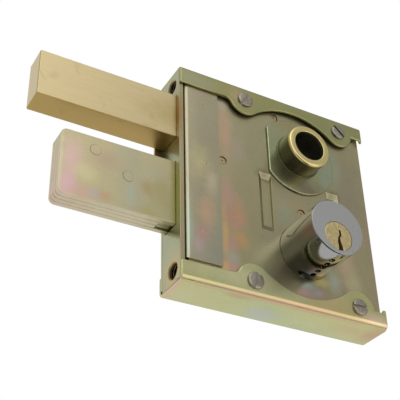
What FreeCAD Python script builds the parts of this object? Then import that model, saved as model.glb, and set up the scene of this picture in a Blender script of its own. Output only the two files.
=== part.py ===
"""Gate lock: surface case lock with a brass latch bar, a laminated dead bolt and a key cylinder.

Millimetres. The model is drawn in the case frame: X runs inward from the face of the fore-end,
Y runs from the key side to the back and Z runs up from the bottom of the case. Each piece is then
placed so that the origin lies midway between the two threaded fixing holes of the fore-end.
"""
import FreeCAD, Part
import math
import os
import Sketcher
from FreeCAD import Rotation, Vector

os.makedirs("parts", exist_ok=True)
doc = FreeCAD.newDocument("gate_lock")
sheet = doc.addObject("Spreadsheet::Sheet", "size")
pieces = []


class Size:
    """A number together with the spreadsheet expression that it comes from."""

    def __init__(self, value, text):
        self.value = float(value)
        self.text = text

    def __add__(self, other):
        return combine(self, "+", other, self.value + number(other))

    def __radd__(self, other):
        return combine(other, "+", self, number(other) + self.value)

    def __sub__(self, other):
        return combine(self, "-", other, self.value - number(other))

    def __rsub__(self, other):
        return combine(other, "-", self, number(other) - self.value)

    def __mul__(self, other):
        return combine(self, "*", other, self.value * number(other))

    def __rmul__(self, other):
        return combine(other, "*", self, number(other) * self.value)

    def __truediv__(self, other):
        return combine(self, "/", other, self.value / number(other))

    def __neg__(self):
        return combine(0, "-", self, -self.value)


def number(value):
    return value.value if isinstance(value, Size) else float(value)


def text(value):
    return value.text if isinstance(value, Size) else repr(float(value))


def combine(left, sign, right, value):
    return Size(value, "(" + text(left) + " " + sign + " " + text(right) + ")")


def cosine(degrees):
    return Size(math.cos(math.radians(number(degrees))), "cos(" + text(degrees) + ")")


def sine(degrees):
    return Size(math.sin(math.radians(number(degrees))), "sin(" + text(degrees) + ")")


rows = []


def cell(alias, value):
    """Write one driving dimension to the spreadsheet and return it as a Size."""
    rows.append(alias)
    row = str(len(rows))
    sheet.set("A" + row, alias)
    sheet.set("B" + row, str(value))
    sheet.setAlias("B" + row, alias)
    return Size(value, "size." + alias)


# Sheet metal and overall case
backset = cell("backset", 70.5)
case_behind = cell("case_behind", 44.5)
case_depth = cell("case_depth", 22.5)
channel_gauge = cell("channel_gauge", 1.5)
shim_gauge = cell("shim_gauge", 1.2)
plate_gauge = cell("plate_gauge", 1.2)
rear_gauge = cell("rear_gauge", 1.5)
rear_bend = cell("rear_bend", 0.6)
fore_thick = cell("fore_thick", 2.5)
low_bend = cell("low_bend", 3.2)
high_bend = cell("high_bend", 1.8)
sheet_gap = cell("sheet_gap", 0.1)
web_rub = cell("web_rub", 0.01)

# Channels: straight flange edge, lugs round the screws, relief between them, tab at the far end
flange_height = cell("flange_height", 10.5)
lug_radius = cell("lug_radius", 9.2)
lug_neck = cell("lug_neck", 4)
relief_height = cell("relief_height", 6.8)
tab_width = cell("tab_width", 1.6)
notch_height = cell("notch_height", 8.9)
screw_edge = cell("screw_edge", 8.5)
screw_start = cell("screw_start", 38.5)
screw_far = cell("screw_far", 16.5)

# Cover screws and the pillars that carry them
head_radius = cell("head_radius", 4.4)
head_height = cell("head_height", 1.3)
head_round = cell("head_round", 0.78)
slot_width = cell("slot_width", 1.4)
slot_depth = cell("slot_depth", 0.8)
slot_over = cell("slot_over", 0.5)
shank_radius = cell("shank_radius", 2.45)
shank_length = cell("shank_length", 12)
pillar_bore_over = cell("pillar_bore_over", 1.5)
thread_gap = cell("thread_gap", 0.05)
pillar_radius = cell("pillar_radius", 5)
neck_radius = cell("neck_radius", 4)
spigot_radius = cell("spigot_radius", 3)
pin_radius = cell("pin_radius", 1.9)
pin_hole_radius = cell("pin_hole_radius", 2.4)
pin_sink = cell("pin_sink", 0.5)
centre_mark = cell("centre_mark", 0.5)
centre_depth = cell("centre_depth", 0.4)

# Fore-end and its threaded fixing holes
fixing_edge = cell("fixing_edge", 8.5)
fixing_depth = cell("fixing_depth", 9)
fixing_radius = cell("fixing_radius", 3.4)
fixing_mouth = cell("fixing_mouth", 1.2)
block_side = cell("block_side", 9.6)
block_length = cell("block_length", 11.5)
bolt_gap = cell("bolt_gap", 0.25)
tongue_reach = cell("tongue_reach", 4.5)
tongue_bottom = cell("tongue_bottom", 46)
tongue_top = cell("tongue_top", 94)

# Spindle tube and its flange
tube_drop = cell("tube_drop", 33.8)
tube_radius = cell("tube_radius", 12.5)
tube_bore = cell("tube_bore", 8.75)
tube_reach = cell("tube_reach", 9.8)
tube_inner_end = cell("tube_inner_end", 8)
rim_round = cell("rim_round", 1.2)
rim_inner_round = cell("rim_inner_round", 0.4)
bead_radius = cell("bead_radius", 13.2)
bead_height = cell("bead_height", 0.6)
bead_round = cell("bead_round", 0.25)
collar_radius = cell("collar_radius", 23)
collar_flat = cell("collar_flat", 18.2)

# Cylinder
shell_level = cell("shell_level", 33.4)
shell_radius = cell("shell_radius", 14.75)
shell_reach = cell("shell_reach", 24.5)
shell_inner_end = cell("shell_inner_end", 7.2)
shell_bevel = cell("shell_bevel", 0.5)
plug_drop = cell("plug_drop", 4.9)
plug_radius = cell("plug_radius", 7.75)
plug_gap = cell("plug_gap", 0.05)
boss_radius = cell("boss_radius", 6)
groove_radius = cell("groove_radius", 5.4)
clip_radius = cell("clip_radius", 9.4)
clip_gauge = cell("clip_gauge", 0.8)
chamber_radius = cell("chamber_radius", 1.5)
chamber_top = cell("chamber_top", 13.5)
chamber_first = cell("chamber_first", 2.3)
chamber_pitch = cell("chamber_pitch", 3.83)
chamber_count = cell("chamber_count", 5)
stack_gap = cell("stack_gap", 0.08)
driver_length = cell("driver_length", 4)
shear_rise = cell("shear_rise", 0.12)
shear_drop = cell("shear_drop", 0.15)
key_pin_least = cell("key_pin_least", 3.6)
key_cut_step = cell("key_cut_step", 0.1)
key_cuts = (11, 0, 16, 5, 13)
pin_spring_wall = cell("pin_spring_wall", 0.4)
pin_spring_gap = cell("pin_spring_gap", 0.02)
plug_chamber_floor = cell("plug_chamber_floor", 2)
plug_bevel = cell("plug_bevel", 0.3)
clip_gap = cell("clip_gap", 0.1)
clip_mouth = cell("clip_mouth", 5)
shell_notch_height = cell("shell_notch_height", 0.8)
shell_notch_front = cell("shell_notch_front", 0.2)
shell_notch_rear = cell("shell_notch_rear", 2.4)
shell_notch_near = cell("shell_notch_near", 4.5)
shell_notch_far = cell("shell_notch_far", 5)
drill_pin_inset = cell("drill_pin_inset", 1.8)
drill_pin_radius = cell("drill_pin_radius", 1.1)
drill_pin_sink = cell("drill_pin_sink", 0.1)
fork_groove_half = cell("fork_groove_half", 13.2)
fork_gap = cell("fork_gap", 0.05)
fork_gauge = cell("fork_gauge", 1.3)
fork_half_width = cell("fork_half_width", 17)
fork_bottom = cell("fork_bottom", 27)
fork_top = cell("fork_top", 74.5)
fork_over = cell("fork_over", 0.4)
fork_slot_round = cell("fork_slot_round", 3)
fork_corner = cell("fork_corner", 2)
keyway_half = cell("keyway_half", 0.6)
keyway_stop = cell("keyway_stop", 3)

# Pressed guides in the front plate, on both sides of the fork
guide_width = cell("guide_width", 7.4)
guide_bottom = cell("guide_bottom", 40.5)
guide_over = cell("guide_over", 0.5)
guide_ramp = cell("guide_ramp", 3.2)
guide_side_ramp = cell("guide_side_ramp", 2)
guide_depth = cell("guide_depth", 1.25)
guide_thinning = cell("guide_thinning", 0.3)
guide_clear = cell("guide_clear", 0.2)

# Raised strip
strip_near = cell("strip_near", 3.6)
strip_far = cell("strip_far", 22.4)
strip_bend = cell("strip_bend", 1.5)
strip_bottom = cell("strip_bottom", 12.8)
leg_bottom = cell("leg_bottom", 14.5)
leg_top_drop = cell("leg_top_drop", 14.5)
rivet_column = cell("rivet_column", 13.4)
rivet_radius = cell("rivet_radius", 1.6)
rivet_proud = cell("rivet_proud", 0.06)
rivet_top_drop = cell("rivet_top_drop", 21.5)
rivet_middle_drop = cell("rivet_middle_drop", 5.85)
rivet_bottom = cell("rivet_bottom", 28.7)

# Brass latch bar and its yoke
latch_out = cell("latch_out", 72.8)
latch_throw = cell("latch_throw", 14)
brass_front = cell("brass_front", 4.5)
brass_behind = cell("brass_behind", 1.1)
brass_height = cell("brass_height", 26.3)
brass_lift = cell("brass_lift", 3.75)
brass_end = cell("brass_end", 43)
brass_chamfer = cell("brass_chamfer", 0.4)
yoke_start = cell("yoke_start", 24)
yoke_gauge = cell("yoke_gauge", 2.5)
yoke_end = cell("yoke_end", 86.5)
yoke_top = cell("yoke_top", 16.3)
yoke_bottom = cell("yoke_bottom", 17.2)
yoke_shoulder = cell("yoke_shoulder", 44)
window_half = cell("window_half", 7.2)
notch_half = cell("notch_half", 2.2)
notch_flare = cell("notch_flare", 5.4)
notch_neck = cell("notch_neck", 11.2)
spring_lug_half = cell("spring_lug_half", 7)
spring_lug_front = cell("spring_lug_front", 7.9)
spring_hole = cell("spring_hole", 2.7)
yoke_screw_radius = cell("yoke_screw_radius", 1.9)
yoke_screw_head = cell("yoke_screw_head", 3.2)
yoke_screw_length = cell("yoke_screw_length", 9)
yoke_screw_inset = cell("yoke_screw_inset", 5)
yoke_screw_rise = cell("yoke_screw_rise", 6.5)
yoke_screw_sink = cell("yoke_screw_sink", 1.4)
yoke_screw_slot = cell("yoke_screw_slot", 0.8)
yoke_screw_under = cell("yoke_screw_under", 1)

# Spindle hub
hub_front = cell("hub_front", 5)
hub_gap = cell("hub_gap", 0.09)
hub_radius = cell("hub_radius", 8)
hub_waist = cell("hub_waist", 6.8)
hub_journal = cell("hub_journal", 6)
square_side = cell("square_side", 8)
arm_radius = cell("arm_radius", 14)
arm_half = cell("arm_half", 1.2)
arm_tip = cell("arm_tip", 2)
arm_swing = cell("arm_swing", 30)
arm_gap = cell("arm_gap", 0.1)

# Latch spring and rod
spring_radius = cell("spring_radius", 3.9)
wire_radius = cell("wire_radius", 0.45)
spring_turns = cell("spring_turns", 7)
rod_radius = cell("rod_radius", 2.4)
rod_depth = cell("rod_depth", 12)
rod_tip_gap = cell("rod_tip_gap", 3)
rod_bevel = cell("rod_bevel", 0.5)
rod_shoulder = cell("rod_shoulder", 0.6)
spring_end_gap = cell("spring_end_gap", 0.05)

# Laminated dead bolt
dead_out = cell("dead_out", 58.8)
lamination = cell("lamination", 2.75)
dead_front = cell("dead_front", 5.8)
bolt_over = cell("bolt_over", 3.3)
bolt_space = cell("bolt_space", 14.3)
dead_height = cell("dead_height", 35.7)
dead_corner = cell("dead_corner", 3)
front_plate_end = cell("front_plate_end", 52)
tail_gap = cell("tail_gap", 1)
relief_start = cell("relief_start", 7.3)
post_radius = cell("post_radius", 3)
post_rise = cell("post_rise", 24.7)
post_gap = cell("post_gap", 0.15)
bolt_rivet_radius = cell("bolt_rivet_radius", 2.8)
head_rivet_inset = cell("head_rivet_inset", 17.3)
head_rivet_drop = cell("head_rivet_drop", 7.2)
head_rivet_step = cell("head_rivet_step", 16.9)
head_rivet_fall = cell("head_rivet_fall", 9.4)
tail_rivet_drop = cell("tail_rivet_drop", 7)
tail_rivet_rise = cell("tail_rivet_rise", 13)
tail_rivet_front = cell("tail_rivet_front", 46)
tail_rivet_middle = cell("tail_rivet_middle", 26)
middle_post_x = cell("middle_post_x", 25)
upper_post_x = cell("upper_post_x", 58.1)
upper_post_drop = cell("upper_post_drop", 11.1)
upper_post_radius = cell("upper_post_radius", 4.5)

# Rack and pinion
gear_module = cell("gear_module", 1)
gear_teeth = 10
pressure_angle = 25
tooth_addendum = cell("tooth_addendum", 0.8)
tooth_dedendum = cell("tooth_dedendum", 1)
tooth_play = cell("tooth_play", 0.2)
plate_clear = cell("plate_clear", 0.1)
pinion_width = cell("pinion_width", 5)
pinion_shaft = cell("pinion_shaft", 2.6)
tang_slot = cell("tang_slot", 2.4)
tang_depth = cell("tang_depth", 1.2)
tang_gap = cell("tang_gap", 0.1)
shaft_gap = cell("shaft_gap", 0.08)
doc.recompute()

# Levels that several pieces share
plug_level = shell_level - plug_drop
dead_bottom = plug_level + bolt_over
dead_top = dead_bottom + dead_height
brass_bottom = dead_top + bolt_space
brass_top = brass_bottom + brass_height
tube_level = brass_bottom + brass_height / 2 - brass_lift
case_height = tube_level + tube_drop
case_width = backset + case_behind
front_level = channel_gauge + shim_gauge
inner_front = front_level + plate_gauge
inner_rear = case_depth - channel_gauge - rear_gauge
end_wall = case_width - channel_gauge
inner_end = end_wall - rear_gauge
screw_columns = (screw_start, case_width - screw_far)
screw_pitch = case_width - screw_far - screw_start
screw_levels = (screw_edge, case_height - screw_edge)
screw_places = [(x, z) for x in screw_columns for z in screw_levels]
fixing_levels = (fixing_edge, case_height - fixing_edge)
brass_rear = inner_rear - brass_behind
yoke_front = brass_rear - yoke_gauge
dead_tail = inner_end - tail_gap
post_level = dead_bottom + post_rise
guide_top = fork_top + guide_over
middle_level = dead_top + bolt_space / 2
middle_radius = bolt_space / 2 - bolt_gap
upper_post_level = case_height - upper_post_drop
pinion_front = dead_front + lamination - plate_clear
pitch_radius = gear_module * (gear_teeth / 2)
gear_pitch = Size(math.pi, "pi") * gear_module
bolt_throw = gear_pitch * gear_teeth
rack_pitch_level = plug_level + pitch_radius
rack_tip_level = rack_pitch_level - tooth_addendum
rack_root_level = rack_pitch_level + tooth_dedendum
origin = (0, -fixing_depth, -case_height / 2)


def bind(item, name, value):
    """Set a property to a plain number, or bind it to the spreadsheet."""
    if isinstance(value, Size):
        item.setExpression(name, value.text)
    else:
        setattr(item, name, value)


def place(item, x=0, y=0, z=0):
    """Bind the placement to a point of the case frame."""
    for axis, offset, shift in zip("xyz", (x, y, z), origin):
        item.setExpression("Placement.Base." + axis, text(offset + shift))


def new_body(label, x=0, y=0, z=0):
    body = doc.addObject("PartDesign::Body", label)
    body.Label = label
    place(body, x, y, z)
    pieces.append(body)
    return body


def new_sketch(body, plane, level):
    """Open a sketch on one of the body's own planes, moved to a level along the axis across it."""
    sketch = body.newObject("Sketcher::SketchObject", "sketch")
    origin_plane = [item for item in body.Origin.OriginFeatures if item.Role == plane][0]
    sketch.AttachmentSupport = [(origin_plane, "")]
    sketch.MapMode = "FlatFace"
    offset = -level if plane == "XZ_Plane" else level
    sketch.setExpression("AttachmentOffset.Base.z", text(offset))
    return sketch


def fix_point(sketch, geometry, corner, x, y):
    """Tie a point of the sketch to its place from the sketch origin."""
    for kind, value in (("DistanceX", x), ("DistanceY", y)):
        index = sketch.addConstraint(Sketcher.Constraint(kind, -1, 1, geometry, corner, number(value)))
        sketch.setExpression("Constraints[" + str(index) + "]", text(value))


def fix_radius(sketch, geometry, radius):
    index = sketch.addConstraint(Sketcher.Constraint("Radius", geometry, number(radius)))
    sketch.setExpression("Constraints[" + str(index) + "]", text(radius))


def corner_arc(before, corner, after, radius):
    """Start, middle, end of the arc that rounds a corner."""
    to_before = (before - corner).normalize()
    to_after = (after - corner).normalize()
    half = to_before.getAngle(to_after) / 2
    run = radius / math.tan(half)
    inward = (to_before + to_after).normalize()
    middle = corner + inward * (radius / math.sin(half) - radius)
    return corner + to_before * run, middle, corner + to_after * run


def outline(*corners):
    """Closed outline of straight edges; a corner with a third value is rounded by that radius."""

    def draw(sketch):
        points = [Vector(number(corner[0]), number(corner[1]), 0) for corner in corners]
        count = len(points)
        arcs = []
        for index, corner in enumerate(corners):
            if len(corner) == 2:
                arcs.append((points[index], None, points[index]))
                continue
            following = points[(index + 1) % count]
            arcs.append(corner_arc(points[index - 1], points[index], following, number(corner[2])))
        lines = []
        for index in range(count):
            start = arcs[index][2]
            end = arcs[(index + 1) % count][0]
            lines.append(sketch.addGeometry(Part.LineSegment(start, end)))
        for index, corner in enumerate(corners):
            previous = lines[index - 1]
            following = lines[index]
            start, middle, end = arcs[index]
            if middle is None:
                sketch.addConstraint(Sketcher.Constraint("Coincident", previous, 2, following, 1))
                fix_point(sketch, following, 1, corner[0], corner[1])
                continue
            arc = sketch.addGeometry(Part.Arc(start, middle, end))
            first = 1 if (sketch.getPoint(arc, 1) - start).Length < 1e-6 else 2
            sketch.addConstraint(Sketcher.Constraint("Tangent", previous, 2, arc, first))
            sketch.addConstraint(Sketcher.Constraint("Tangent", arc, 3 - first, following, 1))
            fix_radius(sketch, arc, corner[2])
            apex = sketch.addGeometry(Part.Point(points[index]), True)
            sketch.addConstraint(Sketcher.Constraint("PointOnObject", apex, 1, previous))
            sketch.addConstraint(Sketcher.Constraint("PointOnObject", apex, 1, following))
            fix_point(sketch, apex, 1, corner[0], corner[1])

    return draw


def rectangle(left, bottom, right, top, *radius):
    return outline((left, bottom) + radius, (right, bottom) + radius,
                   (right, top) + radius, (left, top) + radius)


def disc(x, y, radius):
    """Full circle."""

    def draw(sketch):
        centre = Vector(number(x), number(y), 0)
        circle = sketch.addGeometry(Part.Circle(centre, Vector(0, 0, 1), number(radius)))
        fix_point(sketch, circle, 3, x, y)
        fix_radius(sketch, circle, radius)

    return draw


def extrude(body, kind, plane, start, end, *shapes):
    """Pad or pocket the drawn shapes from one level to another along the axis across the plane."""
    sketch = new_sketch(body, plane, start)
    for draw in shapes:
        draw(sketch)
    feature = body.newObject("PartDesign::" + kind, kind.lower())
    feature.Profile = sketch
    normal_is_forward = plane != "XZ_Plane"
    feature.Reversed = normal_is_forward != (kind == "Pad")
    bind(feature, "Length", end - start)
    return feature


def pad_y(body, start, end, *shapes):
    return extrude(body, "Pad", "XZ_Plane", start, end, *shapes)


def cut_y(body, start, end, *shapes):
    return extrude(body, "Pocket", "XZ_Plane", start, end, *shapes)


def pad_x(body, start, end, *shapes):
    return extrude(body, "Pad", "YZ_Plane", start, end, *shapes)


def cut_x(body, start, end, *shapes):
    return extrude(body, "Pocket", "YZ_Plane", start, end, *shapes)


def pad_z(body, start, end, *shapes):
    return extrude(body, "Pad", "XY_Plane", start, end, *shapes)


def cut_z(body, start, end, *shapes):
    return extrude(body, "Pocket", "XY_Plane", start, end, *shapes)


def turn_y(body, *corners):
    """Revolve an outline of (radius, level) corners about the body's Y axis."""
    sketch = new_sketch(body, "XY_Plane", Size(0, "0"))
    outline(*corners)(sketch)
    feature = body.newObject("PartDesign::Revolution", "revolution")
    feature.Profile = sketch
    feature.ReferenceAxis = (sketch, ["V_Axis"])
    feature.Angle = 360
    return feature


def edges_where(feature, test):
    """Names of the edges whose points all meet the test."""
    doc.recompute()
    names = []
    for index, edge in enumerate(feature.Shape.Edges):
        low, high = edge.ParameterRange
        points = [edge.valueAt(low + (high - low) * step / 4) for step in range(5)]
        if all(test(point) for point in points):
            names.append("Edge" + str(index + 1))
    return names


def chamfer(body, feature, test, size):
    """Break the edges of a feature that meet the test."""
    names = edges_where(feature, test)
    cut = body.newObject("PartDesign::Chamfer", "chamfer")
    cut.Base = (feature, names)
    bind(cut, "Size", size)
    return cut


def loft_y(body, kind, start, end, first, last):
    """Add or cut a block that runs from one outline to another between two levels."""
    sections = []
    for level, draw in ((start, first), (end, last)):
        sketch = new_sketch(body, "XZ_Plane", level)
        draw(sketch)
        sections.append(sketch)
    feature = body.newObject("PartDesign::" + kind, kind.lower())
    feature.Profile = sections[0]
    feature.Sections = sections[1:]
    feature.Ruled = True
    return feature


def fillet(body, feature, test, radius):
    names = edges_where(feature, test)
    rounding = body.newObject("PartDesign::Fillet", "fillet")
    rounding.Base = (feature, names)
    bind(rounding, "Radius", radius)
    return rounding


def near(value, target):
    return abs(value - number(target)) < 0.01


def fore_end_plate():
    """Thick end plate inside the channels, open for the two bolts."""
    body = new_body("fore_end_plate")
    bottom = channel_gauge
    top = case_height - channel_gauge
    pad_x(body, Size(0, "0"), fore_thick,
          outline((channel_gauge, bottom, low_bend - channel_gauge + sheet_gap), (inner_rear, bottom),
                  (inner_rear, top), (channel_gauge, top, high_bend - channel_gauge + sheet_gap)))
    cut_x(body, Size(0, "0"), fore_thick, brass_opening(), dead_opening(),
          *[disc(fixing_depth, level, fixing_radius) for level in fixing_levels])
    face = body.Tip
    mouth = chamfer(body, face, lambda p: near(p.x, 0) and any(
        near(math.hypot(p.y - number(fixing_depth), p.z - number(level)), fixing_radius)
        for level in fixing_levels), fixing_mouth)
    return mouth


def brass_opening():
    return rectangle(brass_front - bolt_gap, brass_bottom - bolt_gap,
                     brass_rear + bolt_gap, brass_top + bolt_gap)


def dead_opening():
    return rectangle(dead_front - bolt_gap, dead_bottom - bolt_gap,
                     dead_front + lamination * 4 + bolt_gap, dead_top + bolt_gap)


def fixing_blocks():
    """Threaded blocks welded behind the fore-end."""
    body = new_body("fixing_blocks")
    half = block_side / 2
    squares = [rectangle(fixing_depth - half, level - half, fixing_depth + half, level + half)
               for level in fixing_levels]
    pad_x(body, fore_thick, fore_thick + block_length, *squares)
    cut_x(body, fore_thick, fore_thick + block_length,
          *[disc(fixing_depth, level, fixing_radius) for level in fixing_levels])


def channel(label, upper):
    """Wrapped channel: web and two flanges, the front one with lugs, relief and end tab."""
    body = new_body(label)
    bend = high_bend if upper else low_bend

    def level(height):
        return case_height - height if upper else height + 0

    def strip(left, low, right, high):
        bottom, top = (high, low) if upper else (low, high)
        return rectangle(left, level(bottom), right, level(top))

    inner_bend = bend - channel_gauge
    rear_inner = case_depth - channel_gauge
    zero = Size(0, "0")
    # The relief arc is tangent to both lugs, so its radius follows from pitch, lugs and depth.
    rise = screw_edge - relief_height
    half = screw_pitch / 2
    relief_radius = (half * half + rise * rise - lug_radius * lug_radius) / (2 * (lug_radius + rise))
    relief_centre = relief_height + relief_radius
    share = lug_radius / (lug_radius + relief_radius)
    neck_level = screw_edge + (relief_centre - screw_edge) * share
    neck_shift = half * share
    near_screw, far_screw = screw_columns
    for x in screw_columns:
        pad_y(body, zero, channel_gauge, disc(x, level(screw_edge), lug_radius))
    pad_y(body, zero, channel_gauge,
          strip(near_screw + neck_shift, bend, far_screw - neck_shift, neck_level))
    cut_y(body, zero, channel_gauge, strip(zero, zero - lug_radius, case_width, bend))
    skin = zero - web_rub
    pad_x(body, zero, case_width, outline(
        (0, level(flange_height)), (0, level(skin), bend), (case_depth, level(skin), bend),
        (case_depth, level(flange_height)), (rear_inner, level(flange_height)),
        (rear_inner, level(channel_gauge), inner_bend), (channel_gauge, level(channel_gauge), inner_bend),
        (channel_gauge, level(flange_height))))
    # The web is rubbed flat, so a faint crease marks where each bend begins.
    cut_y(body, zero, case_depth, strip(zero, zero - 1, case_width, zero))
    middle = near_screw + half
    cut_y(body, zero, channel_gauge, disc(middle, level(relief_centre), relief_radius))
    cut_y(body, zero, channel_gauge,
          strip(far_screw + lug_radius, notch_height, case_width - tab_width, flange_height + 1))
    cut_y(body, zero, channel_gauge,
          *[disc(x, level(screw_edge), shank_radius + thread_gap * 4) for x in screw_columns])
    run = math.sqrt(number(lug_radius) ** 2 - number(flange_height - screw_edge) ** 2)
    blank = body.Tip
    fillet(body, blank, lambda p: near(p.x, near_screw - run) and near(p.z, level(flange_height)), lug_neck)


def rear_case():
    """Back plate bent round at the far end into the end wall, with the short tongue."""
    body = new_body("rear_case")
    outer = inner_rear + rear_gauge
    bottom = low_bend + sheet_gap
    top = case_height - high_bend - sheet_gap
    pad_z(body, bottom, top, outline(
        (0, outer), (end_wall, outer, rear_bend + rear_gauge), (end_wall, inner_front),
        (inner_end, inner_front), (inner_end, inner_rear, rear_bend), (0, inner_rear)))
    pad_x(body, -tongue_reach, 1,
          rectangle(inner_rear, tongue_bottom, outer, tongue_top))
    holes = [disc(x, z, spigot_radius) for x, z in screw_places]
    holes.append(disc(middle_post_x, middle_level, spigot_radius))
    holes.append(disc(upper_post_x, upper_post_level, pin_radius))
    holes.append(disc(backset, post_level, pin_radius))
    holes.append(disc(backset, plug_level, pinion_shaft + shaft_gap))
    holes.append(disc(backset, tube_level, hub_journal + shaft_gap))
    cut_y(body, inner_rear, outer, *holes)
    cut_x(body, inner_end, end_wall, disc(rod_depth, tube_level, rod_radius - rod_shoulder))


def front_plate():
    """Key side cover plate under the strip and the flanges, with the two pressed guides."""
    body = new_body("front_plate")
    left = strip_near + shim_gauge + sheet_gap
    bottom = channel_gauge + sheet_gap
    top = case_height - channel_gauge - sheet_gap
    pad_y(body, front_level, inner_front, rectangle(left, bottom, end_wall, top))
    guide_near = backset - fork_half_width - guide_clear - guide_width
    guide_far = backset + fork_half_width + guide_clear
    holes = [disc(backset, shell_level, shell_radius + sheet_gap),
             disc(backset, tube_level, tube_radius + sheet_gap)]
    holes += [disc(x, z, neck_radius + thread_gap) for x, z in screw_places]
    holes += [disc(x, z, pin_hole_radius) for x, z in pin_places()]
    holes += [disc(rivet_column, z, rivet_radius) for z in rivet_levels()]
    cut_y(body, front_level, inner_front, *holes)
    # Each guide is sheared along the fork and formed on its other three sides.
    slope, thin = guide_ramp, guide_thinning
    for sheared, formed, inward in ((guide_near + guide_width, guide_near, 1),
                                    (guide_far, guide_far + guide_width, -1)):
        foot = formed + guide_side_ramp * inward
        heel = formed + (guide_side_ramp - thin) * inward
        loft_y(body, "AdditiveLoft", inner_front, inner_front + guide_depth,
               rectangle(formed, guide_bottom, sheared, guide_top),
               rectangle(heel, guide_bottom + slope - thin, sheared, guide_top - slope + thin))
        loft_y(body, "SubtractiveLoft", front_level, front_level + guide_depth,
               rectangle(formed, guide_bottom, sheared, guide_top),
               rectangle(foot, guide_bottom + slope, sheared, guide_top - slope))


def pin_places():
    return [(upper_post_x, upper_post_level), (middle_post_x, middle_level), (backset, post_level)]


def rivet_levels():
    return (case_height - rivet_top_drop, middle_level - rivet_middle_drop, rivet_bottom)


def guide_angle():
    """Raised strip; its rear leg is cut out for both bolts."""
    body = new_body("guide_angle")
    top = case_height - channel_gauge - sheet_gap
    near_side = strip_near
    leg = strip_near + shim_gauge
    rear = inner_rear - bolt_gap
    front = channel_gauge
    pad_z(body, strip_bottom, top, outline(
        (near_side, front, strip_bend), (strip_far, front), (strip_far, front_level),
        (leg, front_level), (leg, rear), (near_side, rear)))
    low_part = rectangle(front_level, strip_bottom, rear, leg_bottom)
    high_part = rectangle(front_level, case_height - leg_top_drop, rear, top)
    cut_x(body, near_side, leg, low_part, high_part, brass_opening(), dead_opening())
    cut_y(body, front, front_level, *[disc(rivet_column, z, rivet_radius) for z in rivet_levels()])


def strip_rivets():
    """Flush rivets that hold the strip to the front plate."""
    body = new_body("strip_rivets")
    pad_y(body, channel_gauge - rivet_proud, inner_front,
          *[disc(rivet_column, z, rivet_radius) for z in rivet_levels()])


def screw_pillars():
    """Shouldered pillars between the plates, threaded for the cover screws."""
    body = new_body("screw_pillars")
    pad_y(body, inner_front, inner_rear, *[disc(x, z, pillar_radius) for x, z in screw_places])
    pad_y(body, channel_gauge, inner_front, *[disc(x, z, neck_radius) for x, z in screw_places])
    pad_y(body, inner_rear, inner_rear + rear_gauge, *[disc(x, z, spigot_radius) for x, z in screw_places])
    cut_y(body, channel_gauge, shank_length + pillar_bore_over,
          *[disc(x, z, shank_radius + thread_gap) for x, z in screw_places])


def cover_screws():
    """Four slotted screws, each slot at the angle at which it was left."""
    body = new_body("cover_screws")
    pad_y(body, -head_height, Size(0, "0"), *[disc(x, z, head_radius) for x, z in screw_places])
    heads = body.Tip
    fillet(body, heads, lambda p: near(p.y, -head_height) and any(
        near(math.hypot(p.x - number(x), p.z - number(z)), head_radius) for x, z in screw_places),
        head_round)
    pad_y(body, Size(0, "0"), shank_length, *[disc(x, z, shank_radius) for x, z in screw_places])
    slot_angles = (65, 55, 3, -44)
    for (x, z), angle in zip(screw_places, slot_angles):
        along = (cosine(angle) * (head_radius + slot_over), sine(angle) * (head_radius + slot_over))
        across = (-sine(angle) * (slot_width / 2), cosine(angle) * (slot_width / 2))
        cut_y(body, -head_height, -head_height + slot_depth, outline(
            (x - along[0] - across[0], z - along[1] - across[1]),
            (x + along[0] - across[0], z + along[1] - across[1]),
            (x + along[0] + across[0], z + along[1] + across[1]),
            (x - along[0] + across[0], z - along[1] + across[1])))


def guide_post(label, x, z, radius, front, rear_spigot):
    """Round post between the plates; its thin front end shows recessed in the front plate."""
    body = new_body(label)
    pad_y(body, front, inner_rear, disc(x, z, radius))
    pad_y(body, front_level + pin_sink, front, disc(x, z, pin_radius))
    pad_y(body, inner_rear, inner_rear + rear_gauge, disc(x, z, rear_spigot))
    cut_y(body, front_level + pin_sink, front_level + pin_sink + centre_depth, disc(x, z, centre_mark))


def cylinder_fork():
    """Fork plate that slides between the pressed guides and locks into the cylinder's groove."""
    body = new_body("cylinder_fork")
    front = inner_front + fork_gap * 2
    slot_half = fork_groove_half + fork_gap
    left, right = backset - fork_half_width, backset + fork_half_width
    slot_top = shell_level + shell_radius + fork_over
    pad_y(body, front, front + fork_gauge, outline(
        (left, fork_bottom), (backset - slot_half, fork_bottom), (backset - slot_half, slot_top, fork_slot_round),
        (backset + slot_half, slot_top, fork_slot_round), (backset + slot_half, fork_bottom),
        (right, fork_bottom), (right, fork_top, fork_corner), (left, fork_top, fork_corner)))
    cut_y(body, front, front + fork_gauge, disc(backset, post_level, pin_radius))


def tube_flange():
    """D shaped flange plate round the tube, spot welded to the front plate."""
    body = new_body("tube_flange", backset, 0, tube_level)
    zero = Size(0, "0")
    pad_y(body, channel_gauge, front_level, disc(zero, zero, collar_radius))
    cut_y(body, channel_gauge, front_level,
          rectangle(-collar_radius - 1, -collar_radius - 1, -collar_flat, collar_radius + 1))
    cut_y(body, channel_gauge, front_level, disc(zero, zero, tube_radius))


def spindle_tube():
    """Short tube with a rounded rim and a bead where it meets its flange."""
    body = new_body("spindle_tube", backset, 0, tube_level)
    turn_y(body, (tube_bore, -tube_reach, rim_inner_round), (tube_radius, -tube_reach, rim_round),
           (tube_radius, channel_gauge - bead_height), (bead_radius, channel_gauge - bead_height, bead_round),
           (bead_radius, channel_gauge), (tube_radius, channel_gauge), (tube_radius, tube_inner_end),
           (tube_bore, tube_inner_end))


def chamber_depths():
    return [-(chamber_first + chamber_pitch * index) for index in range(int(number(chamber_count)))]


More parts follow.
